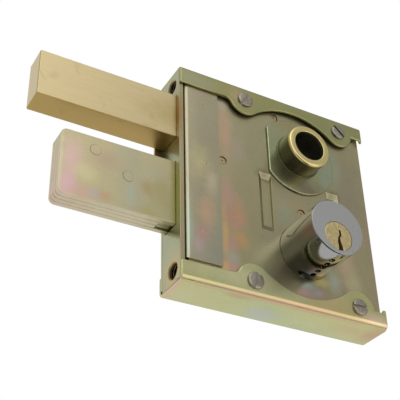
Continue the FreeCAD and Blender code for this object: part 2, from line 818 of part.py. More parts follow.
def cylinder_shell():
    """Round shell, bored off centre for the plug, with five pin chambers drilled from below."""
    body = new_body("cylinder_shell", backset, 0, shell_level)
    zero = Size(0, "0")
    turn_y(body, (zero, -shell_reach), (shell_radius - shell_bevel, -shell_reach),
           (shell_radius, -shell_reach + shell_bevel), (shell_radius, shell_inner_end),
           (zero, shell_inner_end))
    bore = plug_radius + plug_gap
    cut_y(body, -shell_reach, shell_inner_end, disc(zero, -plug_drop, bore))
    cut_z(body, -shell_radius - 1, chamber_top, *[disc(zero, y, chamber_radius) for y in chamber_depths()])
    drill_level = -shell_reach + drill_pin_inset
    cut_z(body, -shell_radius - 1, -plug_drop - plug_radius + 0.5, disc(zero, drill_level, drill_pin_radius))
    groove_front = inner_front + fork_gap
    groove_rear = groove_front + fork_gauge + fork_gap * 2
    cut_y(body, groove_front, groove_rear,
          rectangle(fork_groove_half, -shell_radius, shell_radius + 1, shell_radius),
          rectangle(-shell_radius - 1, -shell_radius, -fork_groove_half, shell_radius))
    cut_y(body, shell_notch_front, shell_notch_rear,
          rectangle(-shell_notch_near, -shell_radius - 1, shell_notch_far, -shell_radius + shell_notch_height))


def drill_pin():
    """Hard pin across the thin wall near the face."""
    body = new_body("drill_pin", backset, 0, shell_level)
    zero = Size(0, "0")
    wall_top = -plug_drop - plug_radius - plug_gap * 2
    pad_z(body, -shell_radius + drill_pin_sink, wall_top,
          disc(zero, -shell_reach + drill_pin_inset, drill_pin_radius))


def driver_pins():
    """Driver pins, held above the shear line."""
    body = new_body("driver_pins", backset, 0, plug_level)
    zero = Size(0, "0")
    start = plug_radius + shear_rise
    pad_z(body, start, start + driver_length,
          *[disc(zero, y, chamber_radius - stack_gap) for y in chamber_depths()])


def pin_springs():
    """Short coil springs above the driver pins, drawn as tubes because the shell hides them."""
    body = new_body("pin_springs", backset, 0, plug_level)
    zero = Size(0, "0")
    start = plug_radius + shear_rise + driver_length
    end = chamber_top + plug_drop - pin_spring_gap
    coil = chamber_radius - stack_gap * 2
    pad_z(body, start, end, *[disc(zero, y, coil) for y in chamber_depths()])
    cut_z(body, start, end, *[disc(zero, y, coil - pin_spring_wall) for y in chamber_depths()])


def cylinder_plug():
    """Brass plug with a warded keyway that opens at the bottom, and its grooved boss."""
    body = new_body("cylinder_plug", backset, 0, plug_level)
    zero = Size(0, "0")
    clip_front = shell_inner_end + clip_gap
    clip_rear = clip_front + clip_gauge
    turn_y(body, (zero, -shell_reach), (plug_radius - plug_bevel, -shell_reach),
           (plug_radius, -shell_reach + plug_bevel), (plug_radius, shell_inner_end), (boss_radius, shell_inner_end), (boss_radius, clip_front),
           (groove_radius, clip_front), (groove_radius, clip_rear), (boss_radius, clip_rear),
           (boss_radius, pinion_front), (zero, pinion_front))
    half = keyway_half
    path = ((0.9, 3.4), (1.2, 0.8), (0.2, -1), (0.1, -3.1), (0.6, -5.2), (0.6, -8.5))
    extra = (0, 0, 0, 0.3, 0.5, 0.9)
    right_side = [(zero + x + half + more, zero + z) for (x, z), more in zip(path, extra)]
    left_side = [(zero + x - half - more, zero + z) for (x, z), more in zip(path, extra)]
    cut_y(body, -shell_reach, pinion_front - keyway_stop, outline(*right_side, *reversed(left_side)))
    cut_z(body, plug_chamber_floor, plug_radius + 1, *[disc(zero, y, chamber_radius) for y in chamber_depths()])
    cut_y(body, pinion_front - tang_depth, pinion_front,
          rectangle(-boss_radius - 1, -tang_slot / 2, boss_radius + 1, tang_slot / 2))


def key_pins():
    """Key pins lifted to the shear line, as the right key holds them."""
    body = new_body("key_pins", backset, 0, plug_level)
    zero = Size(0, "0")
    top = plug_radius - shear_drop
    for index, y in enumerate(chamber_depths()):
        length = key_pin_least + key_cut_step * key_cuts[index % len(key_cuts)]
        pad_z(body, top - length, top, disc(zero, y, chamber_radius - stack_gap))


def plug_clip():
    """Open spring ring in the plug's groove."""
    body = new_body("plug_clip", backset, 0, plug_level)
    zero = Size(0, "0")
    front = shell_inner_end + clip_gap
    half = clip_mouth / 2
    pad_y(body, front, front + clip_gauge, disc(zero, zero, clip_radius))
    cut_y(body, front, front + clip_gauge, disc(zero, zero, groove_radius))
    cut_y(body, front, front + clip_gauge, rectangle(-half, -clip_radius - 1, half, -groove_radius + 1))


def involute_angle(radius, base_radius):
    """Involute function of the pressure angle at a radius."""
    angle = math.acos(base_radius / radius)
    return math.tan(angle) - angle


def tooth_face(pitch, tip, root, thickness):
    """Gear outline: involute flanks above the base circle and straight roots below it."""
    base = pitch * math.cos(math.radians(pressure_angle))
    half_at_pitch = thickness / (2 * pitch)
    steps = [max(base, root) + (tip - max(base, root)) * step / 4 for step in range(5)]
    edges = []
    previous = None
    first = None
    for tooth in range(gear_teeth):
        middle = 2 * math.pi * tooth / gear_teeth
        flank = []
        for radius in steps:
            half = half_at_pitch + involute_angle(pitch, base) - involute_angle(radius, base)
            flank.append((radius, half))

        def at(radius, angle):
            return Vector(radius * math.sin(middle + angle), 0, radius * math.cos(middle + angle))

        left = [at(radius, -half) for radius, half in flank]
        right = [at(radius, half) for radius, half in reversed(flank)]
        foot_left = at(root, -flank[0][1])
        foot_right = at(root, flank[0][1])
        if previous is not None:
            edges.append(Part.LineSegment(previous, foot_left).toShape())
        else:
            first = foot_left
        rising = Part.BSplineCurve()
        rising.interpolate(left)
        falling = Part.BSplineCurve()
        falling.interpolate(right)
        edges.append(Part.LineSegment(foot_left, left[0]).toShape())
        edges.append(rising.toShape())
        edges.append(Part.Arc(left[-1], at(tip, 0), right[0]).toShape())
        edges.append(falling.toShape())
        edges.append(Part.LineSegment(right[-1], foot_right).toShape())
        previous = foot_right
    edges.append(Part.LineSegment(previous, first).toShape())
    return Part.Face(Part.Wire(edges))


def drive_pinion():
    """Ten tooth pinion on the tail of the plug; its shaft runs in the back plate."""
    pitch = number(pitch_radius)
    thickness = number(gear_pitch) / 2 - number(tooth_play) / 2
    face = tooth_face(pitch, pitch + number(tooth_addendum), pitch - number(tooth_dedendum), thickness)
    front = number(pinion_front)
    width = number(pinion_width)
    face.translate(Vector(0, front, 0))
    gear = face.extrude(Vector(0, width, 0))
    shaft_end = number(inner_rear + rear_gauge)
    shaft = Part.makeCylinder(number(pinion_shaft), shaft_end - front - width,
                              Vector(0, front + width, 0), Vector(0, 1, 0))
    reach = number(groove_radius) - number(tang_gap) * 2
    deep = number(tang_depth) - number(tang_gap)
    high = number(tang_slot) - number(tang_gap) * 2
    tang = Part.makeBox(2 * reach, deep, high, Vector(-reach, front - deep, -high / 2))
    item = doc.addObject("Part::Feature", "drive_pinion")
    item.Label = "drive_pinion"
    item.Shape = gear.fuse([shaft, tang]).removeSplitter()
    place(item, backset, 0, plug_level)
    pieces.append(item)


def bolt_plate(label, index, tail, racked):
    """One lamination of the dead bolt."""
    body = new_body(label)
    front = dead_front + lamination * index
    rear = front + lamination
    foot = rack_tip_level if racked else dead_bottom
    corners = [(-dead_out, dead_bottom, dead_corner)]
    if racked:
        corners += [(-relief_start, dead_bottom), (-relief_start, foot)]
    corners += [(tail, foot), (tail, dead_top), (-dead_out, dead_top, dead_corner)]
    pad_y(body, front, rear, outline(*corners))
    holes = [disc(x, z, bolt_rivet_radius) for x, z in rivet_places() if number(x + bolt_rivet_radius) < number(tail)]
    if number(tail) > number(backset + bolt_throw):
        reach = post_radius + post_gap
        slot_end = backset + bolt_throw
        holes.append(rectangle(backset, post_level - reach, slot_end, post_level + reach))
        cut_y(body, front, rear, disc(backset, post_level, reach), disc(slot_end, post_level, reach))
    cut_y(body, front, rear, *holes)
    if racked:
        rack_spaces(body, front, rear)
    return body


def rack_spaces(body, front, rear):
    """Tooth spaces of the rack, one cut repeated along the bolt."""
    slope = math.tan(math.radians(pressure_angle))
    half = gear_pitch / 4 + tooth_play / 4
    spread = tooth_addendum * slope
    narrow = tooth_dedendum * slope
    start = backset - gear_pitch * 2
    space = cut_y(body, front, rear, outline(
        (start - half - spread, rack_tip_level), (start + half + spread, rack_tip_level),
        (start + half - narrow, rack_root_level), (start - half + narrow, rack_root_level)))
    doc.recompute()
    rack = body.newObject("PartDesign::LinearPattern", "rack")
    rack.Originals = [space]
    axis = [item for item in body.Origin.OriginFeatures if item.Role == "X_Axis"][0]
    rack.Direction = (axis, [""])
    count = gear_teeth + 5
    rack.Occurrences = count
    rack.setExpression("Length", text(gear_pitch * (count - 1)))
    body.Tip = rack


def rivet_places():
    """Rivets of the laminations; the first two show outside the fore-end."""
    second = -dead_out + head_rivet_inset + head_rivet_step
    low_row = dead_bottom + tail_rivet_rise
    return [(-dead_out + head_rivet_inset, dead_top - head_rivet_drop),
            (second, dead_top - head_rivet_drop - head_rivet_fall),
            (backset - tail_rivet_front, dead_top - tail_rivet_drop), (backset - tail_rivet_middle, low_row),
            (backset - tail_rivet_middle / 2, low_row), (backset + tail_rivet_middle, low_row)]


def bolt_rivets():
    """Flush rivets; the two beyond the front lamination are one sheet shorter."""
    body = new_body("bolt_rivets")
    rear = dead_front + lamination * 4
    spots = rivet_places()
    long_ones = [spot for spot in spots if number(spot[0] + bolt_rivet_radius) < number(front_plate_end)]
    short_ones = [spot for spot in spots if spot not in long_ones]
    pad_y(body, dead_front, rear, *[disc(x, z, bolt_rivet_radius) for x, z in long_ones])
    pad_y(body, dead_front + lamination, rear, *[disc(x, z, bolt_rivet_radius) for x, z in short_ones])


def yoke_screw_places():
    return [(yoke_start + yoke_screw_inset, brass_bottom + yoke_screw_rise),
            (brass_end - yoke_screw_inset, brass_top - yoke_screw_rise)]


def brass_bolt():
    """Plain brass bar, stepped at its inner end for the yoke."""
    body = new_body("brass_bolt")
    pad_y(body, brass_front, brass_rear, rectangle(-latch_out, brass_bottom, brass_end, brass_top))
    cut_y(body, yoke_front, brass_rear, rectangle(yoke_start, brass_bottom - 1, brass_end + 1, brass_top + 1))
    bar = body.Tip
    chamfer(body, bar, lambda p: near(p.x, -latch_out), brass_chamfer)
    cut_y(body, yoke_front - yoke_screw_length + yoke_screw_under, yoke_front,
          *[disc(x, z, yoke_screw_radius) for x, z in yoke_screw_places()])


def latch_yoke():
    """Steel tail plate of the bar: window round the hub, slot for its arm, lug for the spring."""
    body = new_body("latch_yoke")
    low = tube_level - yoke_bottom
    high = tube_level + yoke_top
    lug_near = yoke_end - yoke_gauge
    pad_y(body, yoke_front, brass_rear, outline(
        (yoke_start, brass_bottom + sheet_gap), (yoke_shoulder, brass_bottom + sheet_gap),
        (yoke_shoulder, low), (lug_near, low), (lug_near, high), (yoke_start, high)))
    pad_x(body, lug_near, yoke_end,
          rectangle(spring_lug_front, tube_level - spring_lug_half, brass_rear, tube_level + spring_lug_half))
    clear = window_half - hub_waist
    tip_x = backset - arm_radius * sine(arm_swing)
    cut_y(body, yoke_front, brass_rear,
          rectangle(backset - hub_waist - latch_throw - clear * 1.5, tube_level - window_half,
                    backset + hub_waist + clear * 1.5, tube_level + window_half))
    neck = tube_level - notch_neck
    cut_y(body, yoke_front, brass_rear, outline(
        (tip_x - notch_half, low - 1), (tip_x + notch_half, low - 1), (tip_x + notch_half, neck),
        (tip_x + notch_flare, tube_level - window_half + 0.2),
        (tip_x - notch_flare, tube_level - window_half + 0.2), (tip_x - notch_half, neck)))
    cut_x(body, lug_near, yoke_end, disc(rod_depth, tube_level, spring_hole))
    cut_y(body, yoke_front, brass_rear, *[disc(x, z, yoke_screw_radius) for x, z in yoke_screw_places()])
    cut_y(body, brass_rear - yoke_screw_sink, brass_rear,
          *[disc(x, z, yoke_screw_head) for x, z in yoke_screw_places()])


def yoke_screws():
    """Two screws, sunk in the yoke, that hold it on the bar."""
    body = new_body("yoke_screws")
    places = yoke_screw_places()
    seat = brass_rear - yoke_screw_sink
    top = brass_rear - sheet_gap
    half = yoke_screw_slot / 2
    pad_y(body, seat, top, *[disc(x, z, yoke_screw_head - sheet_gap) for x, z in places])
    pad_y(body, yoke_front - yoke_screw_length + yoke_screw_under * 2, seat,
          *[disc(x, z, yoke_screw_radius - thread_gap) for x, z in places])
    cut_y(body, top - yoke_screw_slot, top,
          *[rectangle(x - yoke_screw_head, z - half, x + yoke_screw_head, z + half) for x, z in places])


def spindle_hub():
    """Follower with a square hole; its arm hangs in the slot of the yoke."""
    body = new_body("spindle_hub", backset, 0, tube_level)
    zero = Size(0, "0")
    arm_front = yoke_front + arm_gap
    arm_rear = brass_rear - arm_gap
    waist_front = arm_front - arm_gap * 2
    waist_rear = arm_rear + arm_gap * 2
    rear_face = inner_rear + rear_gauge
    turn_y(body, (zero, hub_front), (tube_bore - hub_gap, hub_front), (tube_bore - hub_gap, tube_inner_end),
           (hub_radius, tube_inner_end), (hub_radius, waist_front), (hub_waist, waist_front),
           (hub_waist, waist_rear), (hub_journal, waist_rear), (hub_journal, rear_face), (zero, rear_face))
    along_x, along_z = -sine(arm_swing), -cosine(arm_swing)
    tip_x, tip_z = along_x * arm_radius, along_z * arm_radius
    root = hub_waist * 0.8
    side_x, side_z = along_z * arm_half, -along_x * arm_half
    pad_y(body, arm_front, arm_rear, outline(
        (along_x * root + side_x, along_z * root + side_z), (tip_x + side_x, tip_z + side_z),
        (tip_x - side_x, tip_z - side_z), (along_x * root - side_x, along_z * root - side_z)))
    pad_y(body, arm_front, arm_rear, disc(tip_x, tip_z, arm_tip))
    half = square_side / 2
    cut_y(body, hub_front, rear_face, rectangle(-half, -half, half, half))


def spring_rod():
    """Rod riveted to the end wall, inside the latch spring."""
    body = new_body("spring_rod")
    tip = backset + hub_radius + rod_tip_gap
    pad_x(body, tip, inner_end, disc(rod_depth, tube_level, rod_radius))
    rod = body.Tip
    chamfer(body, rod, lambda p: near(p.x, tip), rod_bevel)
    pad_x(body, inner_end, end_wall, disc(rod_depth, tube_level, rod_radius - rod_shoulder))


def latch_spring():
    """Compression spring between the yoke's lug and the end wall, one unbroken coil."""
    start = number(yoke_end)
    length = number(inner_end) - start
    wire = number(wire_radius)
    turns = int(number(spring_turns))
    spare = number(spring_end_gap)
    pitch = (length - 2 * wire - 2 * spare) / turns
    helix = Part.makeLongHelix(pitch, pitch * turns, number(spring_radius))
    section = Part.Wire(Part.Circle(Vector(number(spring_radius), 0, 0), Vector(0, 1, 0), wire).toShape())
    coil = Part.Wire(helix).makePipeShell([section], True, True)
    print("latch spring: least gap between turns", round(pitch - 2 * wire, 3))
    along_rod = FreeCAD.Placement(
        Vector(start + wire + spare, number(rod_depth), number(tube_level)), Rotation(Vector(0, 1, 0), 90))
    coil = coil.transformShape(along_rod.Matrix, True)
    item = doc.addObject("Part::Feature", "latch_spring")
    item.Label = "latch_spring"
    item.Shape = coil
    place(item)
    pieces.append(item)


fore_end_plate()
fixing_blocks()
channel("top_channel", True)
channel("bottom_channel", False)
rear_case()
front_plate()
guide_angle()
strip_rivets()
screw_pillars()
cover_screws()
guide_post("upper_post", upper_post_x, upper_post_level, upper_post_radius, inner_front, pin_radius)
guide_post("middle_post", middle_post_x, middle_level, middle_radius, inner_front, spigot_radius)
guide_post("tail_post", backset, post_level, post_radius, inner_front + fork_gap * 2 + fork_gauge, pin_radius)
cylinder_fork()
tube_flange()
spindle_tube()
cylinder_shell()
drill_pin()
driver_pins()
pin_springs()
cylinder_plug()
key_pins()
plug_clip()
drive_pinion()
bolt_plate("bolt_plate_front", 0, front_plate_end, False)
bolt_plate("bolt_plate_mid_front", 1, dead_tail, True)
bolt_plate("bolt_plate_mid_rear", 2, dead_tail, True)
bolt_plate("bolt_plate_rear", 3, dead_tail, False)
bolt_rivets()
brass_bolt()
latch_yoke()
yoke_screws()
spindle_hub()
spring_rod()
latch_spring()

doc.recompute()
faults = []
for item in doc.Objects:
    if "Invalid" in item.State or "Error" in item.State:
        faults.append(item.Label + " " + str(item.State))
    if item.TypeId == "PartDesign::Pocket":
        before = item.BaseFeature.Shape.Volume
        if item.Shape.Volume > before - 1e-6:
            faults.append(item.Label + " cuts nothing")
for item in pieces:
    if item.Shape.isNull() or not item.Shape.isValid():
        faults.append(item.Label + " has no valid shape")
if faults:
    raise RuntimeError("; ".join(faults))

for item in pieces:
    item.Shape.exportStep("parts/" + item.Label + ".step")
    print(item.Label, len(item.Shape.Solids), "solids", round(item.Shape.Volume, 1), "mm3")
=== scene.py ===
import bmesh
import bpy
import math
from mathutils import Matrix, Vector


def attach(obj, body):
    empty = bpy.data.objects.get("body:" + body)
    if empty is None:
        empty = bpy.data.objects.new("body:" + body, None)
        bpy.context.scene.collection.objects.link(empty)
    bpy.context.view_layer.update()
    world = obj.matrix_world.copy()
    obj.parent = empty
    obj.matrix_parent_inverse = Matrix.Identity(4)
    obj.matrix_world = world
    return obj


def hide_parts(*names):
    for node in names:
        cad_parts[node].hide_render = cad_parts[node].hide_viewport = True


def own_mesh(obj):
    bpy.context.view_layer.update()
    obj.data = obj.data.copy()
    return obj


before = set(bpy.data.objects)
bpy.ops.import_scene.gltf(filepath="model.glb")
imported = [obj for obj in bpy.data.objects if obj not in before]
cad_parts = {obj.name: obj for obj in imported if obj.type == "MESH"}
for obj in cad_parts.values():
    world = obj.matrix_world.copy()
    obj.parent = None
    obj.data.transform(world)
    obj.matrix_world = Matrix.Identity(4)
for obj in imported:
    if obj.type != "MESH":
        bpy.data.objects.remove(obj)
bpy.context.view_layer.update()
scene = bpy.context.scene


# Photographer's view. The lock is held up in front of white paper and seen from
# its bolt side and from below, so the lens looks up at it.
camera_place = Vector((-0.17089, -0.32628, -0.25991))
camera_turn = math.radians(29.68)
camera_lift = math.radians(33.54)
camera_roll = math.radians(-1.29)
forward = Vector((math.sin(camera_turn) * math.cos(camera_lift),
                  math.cos(camera_turn) * math.cos(camera_lift), math.sin(camera_lift)))
level_right = Vector((math.cos(camera_turn), -math.sin(camera_turn), 0))
level_up = level_right.cross(forward)
right = math.cos(camera_roll) * level_right + math.sin(camera_roll) * level_up
upward = math.cos(camera_roll) * level_up - math.sin(camera_roll) * level_right
lens = bpy.data.cameras.new("camera")
lens.lens = 83.67
lens.sensor_width = 36
lens.clip_start = 0.01
lens.clip_end = 20
camera = bpy.data.objects.new("camera", lens)
camera_axes = Matrix((right, upward, -forward)).transposed()
camera.matrix_world = Matrix.Translation(camera_place) @ camera_axes.to_4x4()
scene.collection.objects.link(camera)
scene.camera = camera


# Studio. White paper lies under the lock, a broad lamp hangs above the photographer, and
# the dim room has soft patches of light, with the photographer's shadow between them.
scene.view_settings.view_transform = "Standard"


def put(tree, socket, value):
    """Link a socket to another one, or give it a plain value."""
    if hasattr(value, "is_linked"):
        tree.links.new(value, socket)
    else:
        socket.default_value = value


def math_node(tree, kind, first, second=0.0):
    node = tree.nodes.new("ShaderNodeMath")
    node.operation = kind
    put(tree, node.inputs[0], first)
    put(tree, node.inputs[1], second)
    return node.outputs[0]


def vector_node(tree, kind, first, second=None, output=0):
    node = tree.nodes.new("ShaderNodeVectorMath")
    node.operation = kind
    put(tree, node.inputs[0], first)
    if second is not None:
        put(tree, node.inputs[1], second)
    return node.outputs[output]


def ramp_node(tree, value, low, high, to_low=0.0, to_high=1.0):
    """Smooth step of a value from one level to another."""
    node = tree.nodes.new("ShaderNodeMapRange")
    node.interpolation_type = "SMOOTHSTEP"
    for name, setting in (("Value", value), ("From Min", low), ("From Max", high),
                          ("To Min", to_low), ("To Max", to_high)):
        put(tree, node.inputs[name], setting)
    return node.outputs[0]


def mix_node(tree, kind, amount, first, second):
    node = tree.nodes.new("ShaderNodeMix")
    node.data_type = "RGBA"
    node.blend_type = kind
    put(tree, node.inputs["Factor"], amount)
    put(tree, node.inputs["A"], first)
    put(tree, node.inputs["B"], second)
    return node.outputs["Result"]


room = bpy.data.worlds.new("studio_room")
scene.world = room
room.use_nodes = True
tree = room.node_tree
tree.nodes.clear()
towards = tree.nodes.new("ShaderNodeTexCoord").outputs["Generated"]


def glow(aim, start, full, strength):
    """Soft round patch of the room; start and full are cosines of the angle from its middle."""
    closeness = vector_node(tree, "DOT_PRODUCT", towards, Vector(aim).normalized(), "Value")
    return math_node(tree, "MULTIPLY", ramp_node(tree, closeness, start, full), strength)


paper_light = glow((0.25, 0.55, -0.8), 0.0, 0.85, 0.42)
wall_light = glow((-0.45, 0.8, 0.35), 0.5, 0.9, 0.5)
high_light = glow((-0.15, -0.70, 0.70), 0.80, 0.99, 0.95)
front_light = glow((-0.2, -0.97, -0.05), 0.88, 0.97, 1.0)
low_light = glow((0.47, -0.85, -0.24), 0.84, 0.95, 1.1)
photographer_shade = glow((-0.10, -0.58, -0.81), 0.62, 0.82, 0.93)
room_level = 0.45
level = room_level
for part in (paper_light, wall_light, high_light, front_light):
    level = math_node(tree, "ADD", part, level)
level = math_node(tree, "MULTIPLY", level, math_node(tree, "SUBTRACT", 1.0, photographer_shade))
level = math_node(tree, "ADD", level, low_light)
cool_white = (1.0, 1.0, 0.985, 1)
warm_white = (1.0, 0.93, 0.86, 1)
room_light = tree.nodes.new("ShaderNodeBackground")
tree.links.new(mix_node(tree, "MIX", low_light, cool_white, warm_white), room_light.inputs["Color"])
tree.links.new(level, room_light.inputs["Strength"])
backdrop = tree.nodes.new("ShaderNodeBackground")
backdrop.inputs["Color"].default_value = (1, 1, 1, 1)
choose = tree.nodes.new("ShaderNodeMixShader")
tree.links.new(tree.nodes.new("ShaderNodeLightPath").outputs["Is Camera Ray"], choose.inputs[0])
tree.links.new(room_light.outputs[0], choose.inputs[1])
tree.links.new(backdrop.outputs[0], choose.inputs[2])
tree.links.new(choose.outputs[0], tree.nodes.new("ShaderNodeOutputWorld").inputs["Surface"])

lamp = bpy.data.lights.new("broad_lamp", "AREA")
lamp.size = 0.9
lamp.energy = 0.8
lamp_stand = bpy.data.objects.new("broad_lamp", lamp)
lamp_stand.location = (-0.17, -0.78, 0.78)
lamp_stand.rotation_euler = (-lamp_stand.location).to_track_quat("-Z", "Y").to_euler()
scene.collection.objects.link(lamp_stand)

floor_level = -0.62
paper_side, paper_near, paper_far = 1.4, -0.35, 1.8
paper_corners = ((-paper_side, paper_near), (paper_side, paper_near),
                 (paper_side, paper_far), (-paper_side, paper_far))
paper_sheet = bpy.data.meshes.new("floor_paper")
paper_sheet.from_pydata([(x, y, floor_level) for x, y in paper_corners], [], [(0, 1, 2, 3)])
paper = bpy.data.materials.new("floor_paper")
paper.use_nodes = True
tree = paper.node_tree
sheet = tree.nodes["Principled BSDF"]
sheet.inputs["Base Color"].default_value = (0.9, 0.9, 0.89, 1)
sheet.inputs["Roughness"].default_value = 0.9
white = tree.nodes.new("ShaderNodeEmission")
white.inputs["Color"].default_value = (1, 1, 1, 1)
rays = tree.nodes.new("ShaderNodeLightPath")
seen = math_node(tree, "MAXIMUM", rays.outputs["Is Camera Ray"], rays.outputs["Is Glossy Ray"])
paper_whiteness = 0.88
blend = tree.nodes.new("ShaderNodeMixShader")
tree.links.new(math_node(tree, "MULTIPLY", seen, paper_whiteness), blend.inputs[0])
tree.links.new(sheet.outputs[0], blend.inputs[1])
tree.links.new(white.outputs[0], blend.inputs[2])
tree.links.new(blend.outputs[0], tree.nodes["Material Output"].inputs["Surface"])
paper_sheet.materials.append(paper)
floor = bpy.data.objects.new("floor", paper_sheet)
scene.collection.objects.link(floor)


# Fore-end plate. Thick steel strip with the two bolt openings and the two threaded
# fixing holes, yellow passivated over zinc like the rest of the case.
MM = 0.001
FLOAT = "NodeSocketFloat"
COLOUR = "NodeSocketColor"
PLACE = "NodeSocketVector"


def make_group(name, inputs, outputs):
    """Empty shader group with its sockets; returns the tree with its input and output nodes."""
    group = bpy.data.node_groups.new(name, "ShaderNodeTree")
    for label, kind, value in inputs:
        group.interface.new_socket(label, in_out="INPUT", socket_type=kind).default_value = value
    for label, kind in outputs:
        group.interface.new_socket(label, in_out="OUTPUT", socket_type=kind)
    return group, group.nodes.new("NodeGroupInput").outputs, group.nodes.new("NodeGroupOutput").inputs


def noise_node(tree, vector, scale, detail=2.0, distortion=0.0):
    node = tree.nodes.new("ShaderNodeTexNoise")
    put(tree, node.inputs["Vector"], vector)
    put(tree, node.inputs["Scale"], scale)
    node.inputs["Detail"].default_value = detail
    node.inputs["Distortion"].default_value = distortion
    return node.outputs["Fac"]


def place_of(tree):
    return tree.nodes.new("ShaderNodeTexCoord").outputs["Object"]


# Chromate film on zinc: a thin clear film whose thickness drifts over the sheet, with
# the interference colours in the order in which they follow each other.
passivate, given, result = make_group(
    "yellow_passivate",
    [("Tint", COLOUR, (0.5, 0.45, 0.28, 1)), ("Film Scale", FLOAT, 22.0), ("Film Shift", FLOAT, 0.0),
     ("Flow", PLACE, (1, 1, 0.4)), ("Film Strength", FLOAT, 0.6), ("Film Start", FLOAT, 0.35),
     ("Roughness", FLOAT, 0.3), ("Grain", FLOAT, 0.5)],
    [("Color", COLOUR), ("Roughness", FLOAT), ("Height", FLOAT)])
where = place_of(passivate)
flowed = vector_node(passivate, "MULTIPLY", where, given["Flow"])
shifted = vector_node(passivate, "ADD", flowed, given["Film Shift"])
drift = noise_node(passivate, shifted, given["Film Scale"], 2.0, 0.6)
film = math_node(passivate, "MULTIPLY", math_node(passivate, "SUBTRACT", drift, 0.5), 1.6)
film = math_node(passivate, "ADD", film, given["Film Start"])
bands = passivate.nodes.new("ShaderNodeValToRGB")
bands.color_ramp.interpolation = "B_SPLINE"
film_colours = ((0.00, (0.80, 0.88, 1.00)), (0.20, (0.86, 1.00, 0.94)), (0.38, (0.98, 1.02, 0.88)),
                (0.55, (1.04, 1.00, 0.82)), (0.68, (1.14, 0.92, 0.74)), (0.80, (1.12, 0.82, 0.84)),
                (0.92, (0.98, 0.86, 1.00)), (1.00, (0.86, 0.96, 0.98)))
while len(bands.color_ramp.elements) < len(film_colours):
    bands.color_ramp.elements.new(0.5)
for element, (position, colour) in zip(bands.color_ramp.elements, film_colours):
    element.position = position
    element.color = colour + (1,)
passivate.links.new(film, bands.inputs[0])
speck = noise_node(passivate, where, 900.0, 3.0)
filmed = mix_node(passivate, "MULTIPLY", given["Film Strength"], given["Tint"], bands.outputs[0])
mottle = ramp_node(passivate, speck, 0.3, 0.7, 0.97, 1.03)
passivate.links.new(mix_node(passivate, "MULTIPLY", 1.0, filmed, mottle), result["Color"])
smear_depth = 0.16
smear = math_node(passivate, "MULTIPLY", noise_node(passivate, where, 60.0), smear_depth)
smear = math_node(passivate, "SUBTRACT", smear, smear_depth / 2)
passivate.links.new(math_node(passivate, "ADD", smear, given["Roughness"]), result["Roughness"])
passivate.links.new(math_node(passivate, "MULTIPLY", speck, given["Grain"]), result["Height"])

# One local bloom of the film, or a spot of painted highlight or painted shade, with a ragged soft edge.
bloom, given, result = make_group(
    "bloom",
    [("Color", COLOUR, (0.5, 0.5, 0.5, 1)), ("Bloom Color", COLOUR, (0.5, 0.5, 0.5, 1)),
     ("Centre", PLACE, (0, 0, 0)), ("Reach", PLACE, (1, 1, 1)), ("Edge", FLOAT, 0.8),
     ("Ragged", FLOAT, 0.5)],
    [("Color", COLOUR)])
where = place_of(bloom)
away = vector_node(bloom, "DIVIDE", vector_node(bloom, "SUBTRACT", where, given["Centre"]), given["Reach"])
away = vector_node(bloom, "LENGTH", away, output="Value")
tatter = math_node(bloom, "SUBTRACT", noise_node(bloom, where, 170.0, 2.0, 0.4), 0.5)
away = math_node(bloom, "ADD", away, math_node(bloom, "MULTIPLY", tatter, given["Ragged"]))
mask = ramp_node(bloom, away, math_node(bloom, "SUBTRACT", 1.0, given["Edge"]), 1.0, 1.0, 0.0)
bloom.links.new(mix_node(bloom, "MIX", mask, given["Color"], given["Bloom Color"]), result["Color"])

# Blooms and spots of painted highlight and shade are measured in mm from the lower front corner of the case
# at the fore-end. A reach of 0 runs right through the part, and CRISP gives a patch a sharp rim.
corner = (0, 0.009, 0.0625)
far_reach = 1.0
CRISP = True
crisp_edge, crisp_ragged = 0.15, 0.05


def from_corner(place):
    """Place in mm from the case's corner, in the frame of the part."""
    return [value * MM - shift for value, shift in zip(place, corner)]


def metal(name, group, values, metallic=0.9, blooms_and_painted_light=(), edge=0.8, ragged=0.5):
    """Metal with a finish group; each patch of film colour, painted highlight or painted shade is its centre,
    its reach, its colour and perhaps CRISP.
    """
    material = bpy.data.materials.new(name)
    material.use_nodes = True
    tree = material.node_tree
    shader = tree.nodes["Principled BSDF"]
    shader.inputs["Metallic"].default_value = metallic
    finish = tree.nodes.new("ShaderNodeGroup")
    finish.node_tree = group
    for label, value in values.items():
        finish.inputs[label].default_value = value + (1,) if isinstance(value, tuple) else value
    colour = finish.outputs["Color"]
    for centre, reach, tint, *crisp in blooms_and_painted_light:
        patch = tree.nodes.new("ShaderNodeGroup")
        patch.node_tree = bloom
        patch.inputs["Bloom Color"].default_value = tint + (1,)
        patch.inputs["Centre"].default_value = from_corner(centre)
        patch.inputs["Reach"].default_value = [value * MM if value else far_reach for value in reach]
        patch.inputs["Edge"].default_value = crisp_edge if crisp else edge
        patch.inputs["Ragged"].default_value = crisp_ragged if crisp else ragged
        tree.links.new(colour, patch.inputs["Color"])
        colour = patch.outputs["Color"]
    tree.links.new(colour, shader.inputs["Base Color"])
    tree.links.new(finish.outputs["Roughness"], shader.inputs["Roughness"])
    relief_depth = 0.02
    relief = tree.nodes.new("ShaderNodeBump")
    relief.inputs["Strength"].default_value = 0.25
    relief.inputs["Distance"].default_value = relief_depth * MM
    tree.links.new(finish.outputs["Height"], relief.inputs["Height"])
    tree.links.new(relief.outputs["Normal"], shader.inputs["Normal"])
    return material


def zinc(name, tint, shift, start=0.4, strength=0.5, scale=22.0, flow=(1, 1, 0.4), roughness=0.3, blooms_and_painted_light=()):
    """Zinc under its yellow film; flow draws the film out along the axes where it is small."""
    finish = {"Tint": tint, "Film Scale": scale, "Film Shift": shift, "Flow": Vector(flow),
              "Film Strength": strength, "Film Start": start, "Roughness": roughness, "Grain": 0.2}
    return metal(name, passivate, finish, blooms_and_painted_light=blooms_and_painted_light, edge=1.0, ragged=0.7)


